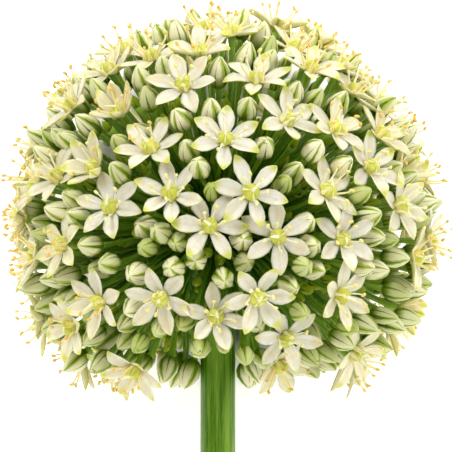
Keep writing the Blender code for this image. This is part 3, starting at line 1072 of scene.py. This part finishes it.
@dataclass
class Tepals(Piece):
    """The six tepals of every open flower, as thin closed blades.

    The midrib leaves the flower's axis at its rise, bending on the way. Across it the blade is an
    ellipse, so flat that it is a sheet, with its margins raised and a channel along its midrib.
    """

    flowers: OpenFlowers
    seed: int = 11
    length: float = 9.6 * MM
    half_width: float = 2.3 * MM
    foot_radius: float = 0.9 * MM
    foot_width: float = 0.30
    widest: float = 0.57
    fullness: Pair = (1.2, 0.77)  # powers on either side of the widest place
    thickness: float = 0.42 * MM
    cup: float = 0.34
    channel: float = 0.25 * MM
    channel_width: float = 0.32
    ripple: float = 0.06
    ripple_run: float = 9.0
    margin_lag: float = 2.0
    cupped_above: float = 0.6
    cupped_bend: float = 0.5
    turns: Pair = (0.0, 0.05)
    lengths: Pair = (1.0, 0.035)
    widths: Pair = (1.0, 0.05)
    rises: Pair = (0.0, 0.09)
    bends: Pair = (0.12, 0.22)
    curls: Pair = (0.0, 0.35)
    twists: Pair = (0.0, 0.13)
    cups: Pair = (0.5, 1.5)
    most_tint: float = 0.7
    tints: Pair = (0.3, 1.0)
    fresh_strays: Pair = (0.0, 0.2)
    crowding: float = 1.15
    rows: int = 7
    columns: int = 8

    def _outline(self, share: np.ndarray) -> np.ndarray:
        """Half-width at these shares of the length, for a half-width of one.

        It grows from the foot as a sine up to the widest place and falls to the tip as a cosine, both
        raised to a power.

        Args:
            share: Shares of the length.

        Returns:
            One half-width a share.
        """
        rising = np.sin(math.pi / 2 * np.clip(share / self.widest, 0, 1)) ** self.fullness[0]
        past = np.clip((share - self.widest) / (1 - self.widest), 0, 1)
        falling = np.cos(math.pi / 2 * past) ** self.fullness[1]
        return np.where(share < self.widest, self.foot_width + (1 - self.foot_width) * rising, falling)

    def _arcs(
        self, share: np.ndarray, length: np.ndarray, rise: np.ndarray, bend: np.ndarray, curl: np.ndarray
    ) -> tuple[np.ndarray, np.ndarray]:
        """The midribs, each followed step by step up a slope that bends evenly and curls at the tip.

        Args:
            share: Shares of the length at which points are wanted.
            length: Each tepal's length.
            rise: Its slope halfway, in radians.
            bend: How much the slope grows from foot to tip.
            curl: How much it grows besides, nearly all of it near the tip.

        Returns:
            Distance out from the flower's axis and height along it.
        """
        middle = (share[1:] + share[:-1]) / 2
        slope = rise[..., None] + bend[..., None] * (middle - 0.5) + curl[..., None] * middle**4
        step = np.diff(share) * length[..., None]
        start = np.zeros((*rise.shape, 1))
        steps = (step * np.cos(slope), step * np.sin(slope))
        out, up = (np.concatenate((start, np.cumsum(way, axis=-1)), axis=-1) for way in steps)
        return self.foot_radius + out, up

    def skins(self) -> Skins:
        """Lays the blades along their midribs.

        Returns:
            The skins of all the copies.
        """
        flowers, count = self.flowers, len(self.flowers.middle)
        rng = np.random.default_rng(self.seed)
        each = (count, 6)
        turn = SIXTHS + rng.normal(*self.turns, each)
        length = self.length * rng.normal(*self.lengths, each)
        width = self.half_width * rng.normal(*self.widths, each)
        rise = flowers.rise[:, None] + rng.normal(*self.rises, each)
        cupped = flowers.rise[:, None] > self.cupped_above
        bend = rng.normal(*self.bends, each) + self.cupped_bend * cupped
        curl, twist = rng.normal(*self.curls, each), rng.normal(*self.twists, each)
        cup = self.cup * rng.uniform(*self.cups, each)
        share = np.sin(math.pi / 2 * np.linspace(0, 1, self.rows + 1)) ** self.crowding
        out, up = self._arcs(share, length, rise, bend, curl)
        slope = np.arctan2(np.gradient(up, axis=-1), np.gradient(out, axis=-1))
        ways = turned(flowers.sideways[:, None], flowers.upward[:, None], turn)
        spoke, side = (way[:, :, None] for way in ways)
        axis = flowers.axis[:, None, None]
        spine = flowers.middle[:, None, None] + out[..., None] * spoke + up[..., None] * axis
        _, face = turned(spoke, axis, slope)
        across, face = turned(side, face, twist[..., None] * share)
        angle = ring_angles(self.columns)[:-1]
        beside, above, outline = np.cos(angle), np.sin(angle), self._outline(share)
        wide = (width[..., None] * outline)[..., None]
        phase = rng.uniform(0, WHOLE_TURN, (*each, 1, 1)) + self.margin_lag * np.sign(beside)
        reach = wide * beside * (1 + self.ripple * np.sin(self.ripple_run * share[:, None] + phase))
        thick = self.thickness / 2 * np.sqrt(outline)[:, None] * above
        channel = self.channel * outline[:, None] * np.exp(-((beside / self.channel_width) ** 2))
        raised = cup[..., None, None] * wide * beside**2 + thick - channel
        points = spine[..., None, :] + reach[..., None] * across[..., None, :]
        points = points + raised[..., None] * face[..., None, :]
        rings = points[:, :, :-1].reshape(count * 6, self.rows, self.columns, 3)
        outer = np.concatenate(([0.5], np.tile((1 - above) / 2, self.rows), [0.5]))
        tint = self.most_tint * flowers.ripe * rng.uniform(*self.tints, count)
        fresh = np.repeat(rng.uniform(0, 1, count), 6) + rng.normal(*self.fresh_strays, count * 6)
        marks = {
            "outer": np.broadcast_to(outer, (count * 6, len(outer))),
            "tint": np.repeat(tint, 6),
            "fresh": np.clip(fresh, 0, 1),
        }
        around = (1 + np.cos(ring_angles(self.columns))) / 2
        return Skins(rings, spine[:, :, [0, -1]].reshape(-1, 2, 3), share[:-1], around, marks)


@dataclass
class Ovaries(Piece):
    """The ovary and style of every open flower: three fat lobes, each with a narrow ridge.

    The profile lists heights and radii from the foot up, in millimetres, and the style is its thin end.
    """

    flowers: OpenFlowers
    seed: int = 12
    columns: int = 24
    profile: tuple[Pair, ...] = (
        (-0.6, 1.1), (0.1, 1.7), (0.9, 2.1), (1.8, 2.15), (2.6, 1.8), (3.05, 1.2), (3.25, 0.65),
        (3.5, 0.46), (4.6, 0.34), (5.4, 0.22),
    )
    tip: float = 0.12
    style_foot: float = 3.1
    style_radius: float = 0.5
    belly_radius: float = 2.0
    lean: float = 0.95
    leans: Pair = (0.3, 1.2)
    sizes: Pair = (1.0, 0.05)
    lobes: int = 3
    lobe_depth: float = 0.05
    ridge_height: float = 0.07
    ridge_width: float = 0.2
    ridge_tints: Pair = (0.3, 1.0)

    def skins(self) -> Skins:
        """Turns the profile about each axis, its radius waved once for each lobe.

        The wave is a cosine, with a narrow bell curve on each crest for the ridge. Above its foot the
        style leans straight over to one side.

        Returns:
            The skins of all the copies.
        """
        flowers, count = self.flowers, len(self.flowers.middle)
        rng = np.random.default_rng(self.seed)
        size = MM * rng.normal(*self.sizes, count)[:, None, None]
        heights, radii = np.array(self.profile).T
        around = ring_angles(self.columns)
        angle = around[:-1]
        fatness = (radii - self.style_radius) / (self.belly_radius - self.style_radius)
        ridge = self.ridge_height * np.exp(-((np.sin(self.lobes / 2 * angle) / self.ridge_width) ** 2))
        wave = self.lobe_depth * np.cos(self.lobes * angle) + ridge
        radius = size * radii[:, None] * (1 + np.clip(fatness, 0, 1)[:, None] * wave)
        spoke, _ = turned(flowers.sideways[:, None], flowers.upward[:, None], angle)
        rows = np.append(heights, heights[-1] + self.tip)
        aside, _ = turned(flowers.sideways, flowers.upward, rng.uniform(0, WHOLE_TURN, count))
        lean = self.lean * rng.uniform(*self.leans, count)[:, None, None]
        bent = lean * np.clip(rows - self.style_foot, 0, None)[:, None]
        way = rows[:, None] * flowers.axis[:, None] + bent * aside[:, None]
        spine = flowers.middle[:, None] + size * way
        rings = spine[:, :-1, None] + radius[..., None] * spoke[:, None]
        along = (heights - heights[0]) / (rows[-1] - heights[0])
        marks = {"tint": rng.uniform(0, 1, count), "ridged": rng.uniform(*self.ridge_tints, count)}
        return Skins(rings, spine[:, [0, -1]], along, around / WHOLE_TURN, marks)


@dataclass
class Filaments(Piece):
    """The stalks of the six stamens of every open flower, with broad feet that clasp the ovary."""

    flowers: OpenFlowers
    seed: int = 13
    foot_radius: float = 1.75 * MM
    foot_height: float = 0.3 * MM
    length: float = 6.4 * MM
    unripe: float = 0.78
    spread: float = 27.0
    flower_spreads: Pair = (0.0, 7.0)
    spreads: Pair = (0.0, 8.0)
    turns: Pair = (0.0, 0.22)
    flower_lengths: Pair = (1.0, 0.09)
    lengths: Pair = (1.0, 0.06)
    curves: Pair = (0.22, 0.16)
    upright_foot: float = 0.3
    ripening: Pair = (0.05, 0.65)  # age in an unripe flower, and what a ripe one adds
    flower_ages: Pair = (0.0, 0.2)
    own_ages: Pair = (0.0, 0.15)
    radius: float = 0.27 * MM
    taper: Pair = (1.2, 0.5)  # share of the radius at the foot, and what is lost by the tip
    stoutness: Pair = (0.85, 0.4)  # share of the radius, in the same way
    base_radius: float = 0.85 * MM
    base_share: float = 0.22
    clearance: float = 0.7 * MM
    shares: tuple[float, ...] = (0.0, 0.12, 0.25, 0.4, 0.6, 0.8, 1.0)
    columns: int = 6

    def __post_init__(self) -> None:
        """Leads them up from the foot, outwards and then more upright again, as cubic curves.

        The ripe ones are the longest.
        """
        flowers, count = self.flowers, len(self.flowers.middle)
        rng = np.random.default_rng(self.seed)
        each = (count, 6)
        turn = SIXTHS + rng.normal(*self.turns, each)
        spread = self.spread + rng.normal(*self.flower_spreads, (count, 1))
        spread = np.radians(spread + rng.normal(*self.spreads, each))
        length = self.length * rng.normal(*self.flower_lengths, (count, 1))
        length = length * rng.normal(*self.lengths, each)
        length = (length * (self.unripe + (1 - self.unripe) * flowers.ripe[:, None]))[..., None]
        curve = rng.normal(*self.curves, each)
        axis = flowers.axis[:, None]
        spoke, _ = turned(flowers.sideways[:, None], flowers.upward[:, None], turn)
        foot = flowers.middle[:, None] + self.foot_radius * spoke + self.foot_height * axis
        ways = (self.upright_foot * spread, spread - curve, spread)
        first, last, along = (turned(axis, spoke, way)[0] for way in ways)
        end = foot + length * along
        controls = (foot, foot + length / 3 * first, end - length / 3 * last, end)
        paths = bezier([point.reshape(-1, 3) for point in controls], np.array(self.shares))
        self.paths = self.plan.above_surface(paths, self.clearance)
        self.roll = rng.uniform(0, WHOLE_TURN, count * 6)
        age = self.ripening[0] + self.ripening[1] * flowers.ripe + rng.normal(*self.flower_ages, count)
        self.age = np.clip(np.repeat(age, 6) + rng.normal(*self.own_ages, count * 6), 0, 1)

    def skins(self) -> Skins:
        """Lays tapering tubes along the curves, with a bell curve of their length for the foot.

        Returns:
            The skins of all the copies.
        """
        share = np.array(self.shares)
        stout = (self.stoutness[0] + self.stoutness[1] * np.repeat(self.flowers.ripe, 6))[:, None]
        radii = self.radius * (self.taper[0] - self.taper[1] * share) * stout
        radii = radii + (self.base_radius - self.radius) * np.exp(-((share / self.base_share) ** 2))
        rings, poles = round_tubes(self.paths, radii, self.columns)
        return Skins(rings, poles, share, np.linspace(0, 1, self.columns + 1), {"tint": self.age})


@dataclass
class Anthers(Piece):
    """The pollen sacs, each lying askew across the end of its filament."""

    filaments: Filaments
    length: float = 1.6 * MM
    radius: float = 0.52 * MM
    waist: float = 0.12
    askew: float = 1.1
    rows: tuple[float, ...] = (-0.86, -0.45, 0.0, 0.45, 0.86)
    columns: int = 6

    def skins(self) -> Skins:
        """Ellipsoids with a slight waist halfway.

        Returns:
            The skins of all the copies.
        """
        end, before = self.filaments.paths[:, -1], self.filaments.paths[:, -2]
        ahead = unit(end - before)
        lying, _ = turned(*axes_about(ahead), self.filaments.roll)
        reach = (self.length / 2 * unit(lying + self.askew * ahead))[:, None]
        middle = (end + 0.5 * self.radius * ahead)[:, None]
        place = np.array(self.rows)
        thick = self.radius * np.sqrt(1 - place**2) * (1 - self.waist * (place == 0))
        rings, _ = round_tubes(middle + place[:, None] * reach, thick, self.columns)
        poles = middle + np.array([[-1.0], [1.0]]) * reach
        around = np.linspace(0, 1, self.columns + 1)
        return Skins(rings, poles, (1 + place) / 2, around, {"tint": self.filaments.age})


@dataclass(frozen=True)
class BudShape:
    """The skin of a bud: a pointed egg turned about its axis, with six shallow grooves.

    Attributes:
        groove: Depth of a groove, as a share of the radius.
        groove_width: Sine of three times the angle at which a third of the groove is left.
        lobes: How much the three outer tepals stand out beyond the inner ones, in the same way as a groove.
        unevenness: How far a groove strays round the bud from its even place, in radians.
        seat: Share of the egg that is cut off at the stalk.
        skew: Below one it moves the belly towards the stalk.
        fullness: Below one it makes the egg blunter.
        taper: Share of the radius lost towards the tip.
        columns: Points of a ring.
        rows: Shares of the length at which the rings lie.
    """

    groove: float = 0.09
    groove_width: float = 0.55
    lobes: float = 0.04
    unevenness: float = 0.20
    seat: float = 0.1
    skew: float = 0.86
    fullness: float = 0.72
    taper: float = 0.12
    columns: int = 12
    rows: tuple[float, ...] = (0.0, 0.08, 0.24, 0.48, 0.72, 0.91)

    def skins(
        self,
        base: np.ndarray,
        tip: np.ndarray,
        radii: np.ndarray,
        turn: np.ndarray,
        marks: Mapping[str, np.ndarray],
    ) -> Skins:
        """Works the buds' points out.

        The radius is the belly's, times a skewed sine of the share of the length, less the grooves, which
        are bell curves of the sine of three times the angle.

        Args:
            base: Where each bud sits on its stalk.
            tip: The tip of each.
            radii: The radius of each belly.
            turn: The turn of each about its axis, in radians.
            marks: Values for the finish, one a bud.

        Returns:
            The buds' skins.
        """
        along = np.array(self.rows)
        around = ring_angles(self.columns)
        angle = around[:-1]
        egg = np.sin(math.pi * (self.seat + (1 - self.seat) * along) ** self.skew) ** self.fullness
        egg = egg * (1 - self.taper * along**3)
        bell = np.exp(-((np.sin(3 * angle) / self.groove_width) ** 2))
        belly = np.sin(math.pi * along)[:, None]
        carved = 1 - belly * (self.groove * bell - self.lobes * np.sin(3 * angle))
        radius = radii[:, None, None] * egg[:, None] * carved
        side, rise = turned(*axes_about(unit(tip - base)), turn)
        stray = np.sin(angle + 5 * turn[:, None]) + np.cos(2 * angle + 9 * turn[:, None])
        spoke, _ = turned(side[:, None], rise[:, None], angle + self.unevenness * stray)
        spine = base[:, None] + along[:, None] * (tip - base)[:, None]
        rings = spine[:, :, None] + radius[..., None] * spoke[:, None]
        return Skins(rings, np.stack((base, tip), axis=1), along, around / WHOLE_TURN, marks)


@dataclass
class Buds(Piece):
    """The closed buds: six tepals folded to a pointed egg, with their midribs in the grooves."""

    places: FlowerPlaces
    flowers: OpenFlowers
    seed: int = 14
    length: float = 8.9 * MM
    radius: float = 3.15 * MM
    ages: Pair = (1.9, 1.5)  # the two weights of a beta draw
    growth: Pair = (0.84, 0.24)  # size at age zero, and what a full age adds
    length_draws: Pair = (1.0, 0.05)
    radius_draws: Pair = (1.0, 0.035)
    lowest: Pair = (2.5, 1.0)  # slope and start by which a ray counts as low
    faintness: float = 0.75
    specked_share: float = 0.22
    bud_drop: float = 3.5 * MM
    rest_press: float = 1.5 * MM
    side_press: float = 0.5 * MM
    lean: float = 0.5
    belly: float = 0.45
    squeeze: float = 0.62
    tepal_half_width: float = 2.0 * MM
    tepal_margin: float = 0.2 * MM
    under_tepal: float = 0.6 * MM
    most_sunk: float = 9 * MM
    youngest: Pair = (0.9, 1.3)  # green at age zero, and the power by which it fades

    def __post_init__(self) -> None:
        """Draws sizes and ages, and lowers each bud that a tepal lies over until it is under it.

        The lowest buds, by the scape, are the oldest and have the faintest stripes.
        """
        places = self.places
        k = self.numbers = np.flatnonzero(~places.bloom)
        rng = np.random.default_rng(self.seed)
        self.age = rng.beta(*self.ages, len(k))
        scale = self.growth[0] + self.growth[1] * self.age
        self.lengths = self.length * scale * rng.normal(*self.length_draws, len(k))
        self.radii = self.radius * scale * rng.normal(*self.radius_draws, len(k))
        low = np.clip(-(self.lowest[0] * places.rays[k, 1] + self.lowest[1]), 0, 1)
        self.age = np.maximum(self.age, low)
        self.strength = rng.uniform(0, 1, len(k)) * (1 - self.faintness * low)
        self.specked = (rng.uniform(0, 1, len(k)) < self.specked_share).astype(float)
        press = np.where(k == places.rest, self.rest_press, self.side_press)
        drop = np.where(places.pressed[k], 0, self.bud_drop * places.drop[k])
        out = np.minimum(places.outside[k] - drop, places.to_surface[k] + press)
        out -= np.where(places.pressed[k], 0, self._overlap(places.rays[k] * out[:, None]))
        self.tip = places.rays[k] * out[:, None]
        lean = np.where(places.pressed[k, None], 0, self.lean * places.leaning[k])
        self.axis = unit(places.rays[k] + lean)
        self.base = self.tip - self.axis * self.lengths[:, None]
        self.turn = places.openness[k] * WHOLE_TURN

    def _overlap(self, tips: np.ndarray) -> np.ndarray:
        """How far each bud has to sink to lie under the tepals above it.

        A bud lies under a tepal if the distance of its belly from the tepal's midline, as seen along
        the flower's axis, is less than their half-widths together.

        Args:
            tips: The buds' tips.

        Returns:
            One length a bud, zero for most.
        """
        flowers = self.flowers
        belly = tips - self.places.rays[self.numbers] * (self.belly * self.lengths)[:, None]
        apart = belly[:, None] - flowers.middle[None]
        right, up = (np.sum(apart * way, axis=2) for way in (flowers.sideways, flowers.upward))
        high = np.sum((tips[:, None] - flowers.middle[None]) * flowers.axis, axis=2)
        bearing = np.arctan2(up, right)
        off = bearing - np.round(bearing / SIXTHS[1]) * SIXTHS[1]
        distance = np.hypot(right, up)
        along, beside = distance * np.cos(off), np.abs(distance * np.sin(off))
        flat = self.plan.tepal_length * np.cos(flowers.rise)
        half = self.tepal_half_width * np.sqrt(np.clip(1 - (2 * along / flat - 1) ** 2, 0, 1))
        under = (along < flat + self.tepal_margin) & (beside < half + self.squeeze * self.radii[:, None])
        sheet = along * np.tan(flowers.rise) - self.under_tepal
        return np.clip(np.where(under, high - sheet, 0).max(axis=1), 0, self.most_sunk)

    def skins(self) -> Skins:
        """Gives the buds their shape; the youngest are the greenest.

        Returns:
            The skins of all the copies.
        """
        youth = self.youngest[0] * (1 - self.age) ** self.youngest[1]
        marks = {"youth": youth, "strong": self.strength, "specked": self.specked}
        return BudShape().skins(self.base, self.tip, self.radii, self.turn, marks)


@dataclass
class YoungBuds(Piece):
    """Small green buds still deep in the head, which fill it between the stalks of the others."""

    places: FlowerPlaces
    seed: int = 16
    count: int = 480
    depths: Pair = (0.50, 0.84)
    leans: Pair = (0.0, 0.05)
    sizes: Pair = (0.75, 1.2)
    length: float = 4.8 * MM
    radius: float = 1.5 * MM
    headroom: float = 4.0 * MM
    rows: tuple[float, ...] = (0.0, 0.12, 0.34, 0.62, 0.86)

    def __post_init__(self) -> None:
        """Spaces them by the golden angle, clear of the scape, at drawn shares of the head's reach."""
        plan = self.plan
        rng = np.random.default_rng(self.seed)
        rays = self.places.even_directions(self.count, rng)
        self.roots = self.places.roots_of(rays)
        self.axis = unit(rays + rng.normal(*self.leans, rays.shape))
        out = self.places.reach_of(self.axis) * rng.uniform(*self.depths, len(rays))
        fall = np.clip(self.axis @ plan.down, LEAST_FALL, None)
        out = np.minimum(out, (plan.receptacle_height - self.headroom) / fall)
        scale = rng.uniform(*self.sizes, len(rays))
        self.radii = self.radius * scale
        self.tip = self.axis * out[:, None]
        self.base = self.tip - self.axis * (self.length * scale)[:, None]
        self.turn = rng.uniform(0, WHOLE_TURN, len(rays))
        self.strength = rng.uniform(0, 1, len(rays))

    def skins(self) -> Skins:
        """Gives the young buds the shape of the others, on fewer rings.

        Returns:
            The skins of all the copies.
        """
        count = len(self.tip)
        marks = {"youth": np.ones(count), "strong": self.strength, "specked": np.zeros(count)}
        return BudShape(rows=self.rows).skins(self.base, self.tip, self.radii, self.turn, marks)


@dataclass
class Pedicels(Piece):
    """The stalks of all the flowers: round, sprung out of the receptacle, and wider under the flower."""

    flowers: OpenFlowers
    buds: Buds
    young: YoungBuds
    seed: int = 15
    radius: float = 0.60 * MM
    radius_draws: Pair = (1.0, 0.08)
    waist: Pair = (1.08, 0.12)  # share of the radius at the ends, and what is lost halfway
    cup_radius: float = 1.30 * MM
    cup_from: float = 0.9
    last_ring: float = 0.94
    sunk: float = 0.4 * MM
    spring: float = 0.36
    arrival: float = 0.30
    sways: Pair = (0.0, 0.018)
    rows: int = 8
    columns: int = 7

    def skins(self) -> Skins:
        """Lays tubes along cubic curves from the receptacle to each flower.

        Returns:
            The skins of all the copies.
        """
        flowers, buds, young = self.flowers, self.buds, self.young
        rooted = flowers.places.roots
        roots = np.vstack((rooted[flowers.numbers], rooted[buds.numbers], young.roots))
        under_buds = (piece.base + self.sunk * piece.axis for piece in (buds, young))
        end = np.vstack((flowers.middle, *under_buds))
        axis = np.vstack((flowers.axis, buds.axis, young.axis))
        rng = np.random.default_rng(self.seed)
        run = np.linalg.norm(end - roots, axis=1)[:, None]
        sway = rng.normal(*self.sways, end.shape) * run
        leave = roots + self.spring * run * unit(roots) + sway
        arrive = end - self.arrival * run * axis + sway
        share = np.append(np.linspace(0, self.last_ring, self.rows - 1), 1.0)
        paths = self.plan.above_surface(bezier((roots, leave, arrive, end), share), self.radius)
        thickness = self.radius * rng.normal(*self.radius_draws, (len(end), 1))
        radii = thickness * (self.waist[0] - self.waist[1] * np.sin(math.pi * share))
        radii = radii + (self.cup_radius - self.radius) * smooth_step(self.cup_from, 1.0, share)
        rings, poles = round_tubes(paths, radii, self.columns)
        marks = {"tint": rng.uniform(0, 1, len(end))}
        return Skins(rings, poles, share, np.linspace(0, 1, self.columns + 1), marks)


@dataclass
class Stem:
    """The scape: a long round skin turned about the flower's axis, closed by its cut end."""

    plan: HeadPlan
    ribs: int = 48
    rib_height: float = 0.06 * MM
    columns: int = 96
    rows: int = 40
    rim_rounding: float = 0.3 * MM
    overlap: float = 1.0 * MM
    cut_ring: float = 0.72
    rim_pith: float = 0.7

    def build(self, name: str, finish: PlantTissue) -> bpy.types.Object:
        """Makes the stem, its radius waved by a cosine for the ribs.

        Args:
            name: The piece's name.
            finish: The stem's finish.

        Returns:
            The stem, which stands for the solid one.
        """
        plan = self.plan
        down = np.linspace(plan.scape_length, plan.receptacle_flat - self.overlap, self.rows)
        share = (down - plan.receptacle_flat) / (plan.scape_length - plan.receptacle_flat)
        radius = plan.scape_top_radius + (plan.scape_end_radius - plan.scape_top_radius) * share
        down = np.concatenate((np.full(2, plan.scape_length), down))
        down[2] -= self.rim_rounding
        radius = np.concatenate((radius[:1] * self.cut_ring, radius[:1] - self.rim_rounding, radius))
        around = ring_angles(self.columns)
        angle = around[:-1]
        ribbed = np.append([0.0, 0.0], np.ones(self.rows))[:, None]
        waved = radius[:, None] + self.rib_height / 2 * ribbed * (np.cos(self.ribs * angle) - 1)
        rings = waved[..., None] * np.stack((np.sin(angle), np.zeros_like(angle), np.cos(angle)), axis=-1)
        rings[..., 1] -= down[:, None]
        poles = np.array([[0.0, -plan.scape_length, 0.0], [0.0, -down[-1], 0.0]])
        shades = np.repeat([1.0, self.rim_pith, *np.zeros(self.rows)], self.columns)
        pith = np.concatenate(([1.0], shades, [0.0]))
        along = np.linspace(0, 1, len(down))
        skins = Skins(rings[None], poles[None], along, around / WHOLE_TURN, {"pith": pith})
        stem = skins.build(name, plan, finish.material(), Slot.SCAPE)
        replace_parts(stem, "scape")
        return stem


@dataclass
class Receptacle(Piece):
    """The swollen top of the scape: a ball whose surface is dimpled where the pedicels leave."""

    columns: int = 48
    rows: int = 20
    top: float = 84.0
    depth: float = 0.5 * MM
    dimple: float = 0.3 * MM
    dimples: Pair = (12.0, 14.0)  # waves in a whole turn, round it and up it
    along: float = 0.3

    def skins(self) -> Skins:
        """Turns an arc about the flower's axis, its radius waved round it and up it by cosines.

        Returns:
            The skins of all the copies.
        """
        plan = self.plan
        lowest = -math.asin(plan.receptacle_flat / plan.receptacle_radius)
        rise = np.linspace(lowest, math.radians(self.top), self.rows)[:, None]
        around = ring_angles(self.columns)
        angle = around[:-1]
        dimple = self.dimple * np.cos(self.dimples[0] * angle) * np.cos(self.dimples[1] * rise)
        radius = plan.receptacle_radius - self.depth + dimple
        level = radius * np.cos(rise)
        rings = np.stack((level * np.sin(angle), radius * np.sin(rise), level * np.cos(angle)), axis=-1)
        poles = np.array([[0.0, rings[0, 0, 1], 0.0], [0.0, plan.receptacle_radius - self.depth, 0.0]])
        along = np.linspace(0, self.along, self.rows)
        return Skins(rings[None], poles[None], along, around / WHOLE_TURN, {"tint": np.ones(1)})


# ---------------------------------------------------------------- the studio


@dataclass(frozen=True)
class SoftBox:
    """A square soft light.

    Attributes:
        name: The light's name.
        place: Where it stands, from the middle of the head.
        size: Length of its side.
        power: In watts.
    """

    name: str
    place: tuple[float, float, float]
    size: float
    power: float


@dataclass
class Studio:
    """A pale floor, soft lights, and a camera square to the stem that looks down on the lying flower."""

    plan: HeadPlan
    distance: float = 0.8
    frame_width: float = 128.4 * MM
    sensor: float = 36.0
    floor_size: float = 6.0
    sky: float = 0.32
    sky_colour: Colour = (1.0, 0.965, 0.64, 1.0)
    lamp_top: tuple[float, float, float] = (0.0, 1.0, 0.1)
    floor_colour: str = "#F7F7F7"
    # painted shadow: the colour the paper darkens to under the head
    shadow_colour: str = "#74786A"
    floor_roughness: float = 0.9
    floor_gloss: float = 0.1
    # painted light: strength of the paper's glow away from the head
    floor_glow: float = 0.70
    # where the painted shadow and the painted glow lie: round a point this far up the floor, the shadow is
    # full within the core and the glow is full beyond the edge
    shadow_middle: float = 26.0 * MM
    shadow_core: float = 40.0 * MM
    shadow_edge: float = 61.0 * MM
    boxes: tuple[SoftBox, ...] = (
        SoftBox("key", (-0.55, 0.55, 0.9), 0.6, 9.4),
        SoftBox("fill", (0.75, 0.15, 0.7), 0.7, 6.0),
        SoftBox("low", (-0.1, -0.9, 0.35), 0.6, 3.0),
        SoftBox("rim", (0.35, 1.0, 0.3), 0.6, 3.0),
    )

    def _aimed(self, thing: bpy.types.Object, place: np.ndarray, top: np.ndarray) -> None:
        """Puts a light or a camera in its place, looking at the head's middle.

        Args:
            thing: What is placed; it looks along its own -Z.
            place: Its place in the world.
            top: The direction that it shows upward.
        """
        target = np.array([0.0, 0.0, self.plan.head_height])
        back = unit(place - target)
        right = unit(np.cross(top, back))
        matrix = np.eye(4)
        matrix[:3, :3] = np.column_stack((right, np.cross(back, right), back))
        matrix[:3, 3] = place
        thing.matrix_world = matrix.T.tolist()
        bpy.context.scene.collection.objects.link(thing)

    def build(self) -> None:
        """Makes the floor, the lights, the sky and the camera."""
        plan, scene = self.plan, bpy.context.scene
        middle = np.array([0.0, 0.0, plan.head_height])
        half = self.floor_size / 2
        corners = [(-half, -half, 0), (half, -half, 0), (half, half, 0), (-half, half, 0)]
        mesh = bpy.data.meshes.new("floor")
        mesh.from_pydata(corners, [], [(0, 1, 2, 3)])
        mesh.materials.append(self._paper())
        floor = bpy.data.objects.new("floor", mesh)
        scene.collection.objects.link(floor)
        for box in self.boxes:
            lamp = bpy.data.lights.new(box.name, "AREA")
            lamp.size, lamp.energy = box.size, box.power
            light = bpy.data.objects.new(box.name, lamp)
            self._aimed(light, middle + np.array(box.place), np.array(self.lamp_top))
        world = bpy.data.worlds.new("studio")
        world.use_nodes = True
        feed(world.node_tree.nodes["Background"], {"Color": self.sky_colour, "Strength": self.sky})
        scene.world = world
        lens = bpy.data.cameras.new("camera")
        lens.sensor_width = self.sensor
        lens.lens = self.sensor * self.distance / self.frame_width
        camera = bpy.data.objects.new("camera", lens)
        front = plan.to_world(plan.head_middle + np.array([0.0, 0.0, self.distance]))
        up = plan.to_world(plan.head_middle + np.array([0.0, 1.0, 0.0])) - middle
        self._aimed(camera, front, up)
        scene.camera = camera
        scene.view_settings.view_transform = "Standard"

    def _paper(self) -> bpy.types.Material:
        """White backdrop paper: matt, with a painted glow all round the flower and a painted shadow, a dark
        patch, where the head lies on it.

        Returns:
            The material.
        """
        brush, material, shader = Brush.on_new("white_paper")
        place = add(brush.tree, "ShaderNodeTexCoord").outputs["Object"]
        centre = {0: place, 1: (0.0, self.shadow_middle, 0.0)}
        apart = add(brush.tree, "ShaderNodeVectorMath", centre, operation="DISTANCE").outputs["Value"]
        # painted light: the glow rises from nothing under the head to full round it
        glow = brush.step(apart, self.shadow_core, self.shadow_edge, self.floor_glow)
        # painted shadow: the paper darkens to the shadow colour under the head
        shade = brush.step(apart, self.shadow_edge, self.shadow_core)
        feed(shader, {
            "Base Color": brush.mix(shade, self.floor_colour, self.shadow_colour),
            "Roughness": self.floor_roughness,
            "Specular IOR Level": self.floor_gloss,
            "Emission Color": (1.0, 1.0, 1.0, 1.0),
            "Emission Strength": glow,
        })
        return material


# ---------------------------------------------------------------- the whole


def main() -> None:
    """Builds the flower's looks round its solids."""
    logging.basicConfig(level=logging.INFO, format="%(message)s")
    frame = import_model()
    LOG.info("solids: %s", ", ".join(sorted(frame["nodes"])))
    plan = HeadPlan()
    places = FlowerPlaces(plan)
    flowers = OpenFlowers(plan, places)
    buds, young = Buds(plan, places, flowers), YoungBuds(plan, places)
    filaments = Filaments(plan, flowers)
    scape_skin = ScapeSkin("scape_cuticle", roughness=0.36, gloss=0.4, soak=0.1, relief=0.05 * MM)
    stalk_skin = PedicelSkin("pedicel_green", roughness=0.20, gloss=0.6)
    bud_skin = BudSkin("bud_tepals", roughness=0.36, soak=0.08, depth=0.4 * MM, relief=0.08 * MM)
    tepal_skin = TepalSkin("petal_white", roughness=0.40, soak=0.7, depth=1.3 * MM, relief=0.10 * MM)
    ovary_skin = OvarySkin("ovary_green", roughness=0.28, soak=0.25, depth=0.8 * MM)
    filament_skin = FilamentSkin("filament_white", roughness=0.35, soak=0.5, depth=0.5 * MM)
    anther_skin = AntherSkin(
        "pollen_yellow", roughness=0.8, gloss=0.1, soak=0.3, depth=0.3 * MM, relief=0.06 * MM
    )
    Stem(plan).build("stem", scape_skin)
    head: Mapping[str, tuple[Piece, PlantTissue]] = {
        "receptacle": (Receptacle(plan), stalk_skin),
        "pedicels": (Pedicels(plan, flowers, buds, young), stalk_skin),
        "buds": (buds, bud_skin),
        "young_buds": (young, bud_skin),
        "tepals": (Tepals(plan, flowers), tepal_skin),
        "ovaries": (Ovaries(plan, flowers), ovary_skin),
        "filaments": (filaments, filament_skin),
        "anthers": (Anthers(plan, filaments), anther_skin),
    }
    for name, (piece, finish) in head.items():
        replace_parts(piece.build(name, finish), "umbel")
    Studio(plan).build()


if __name__ == "__main__":
    main()
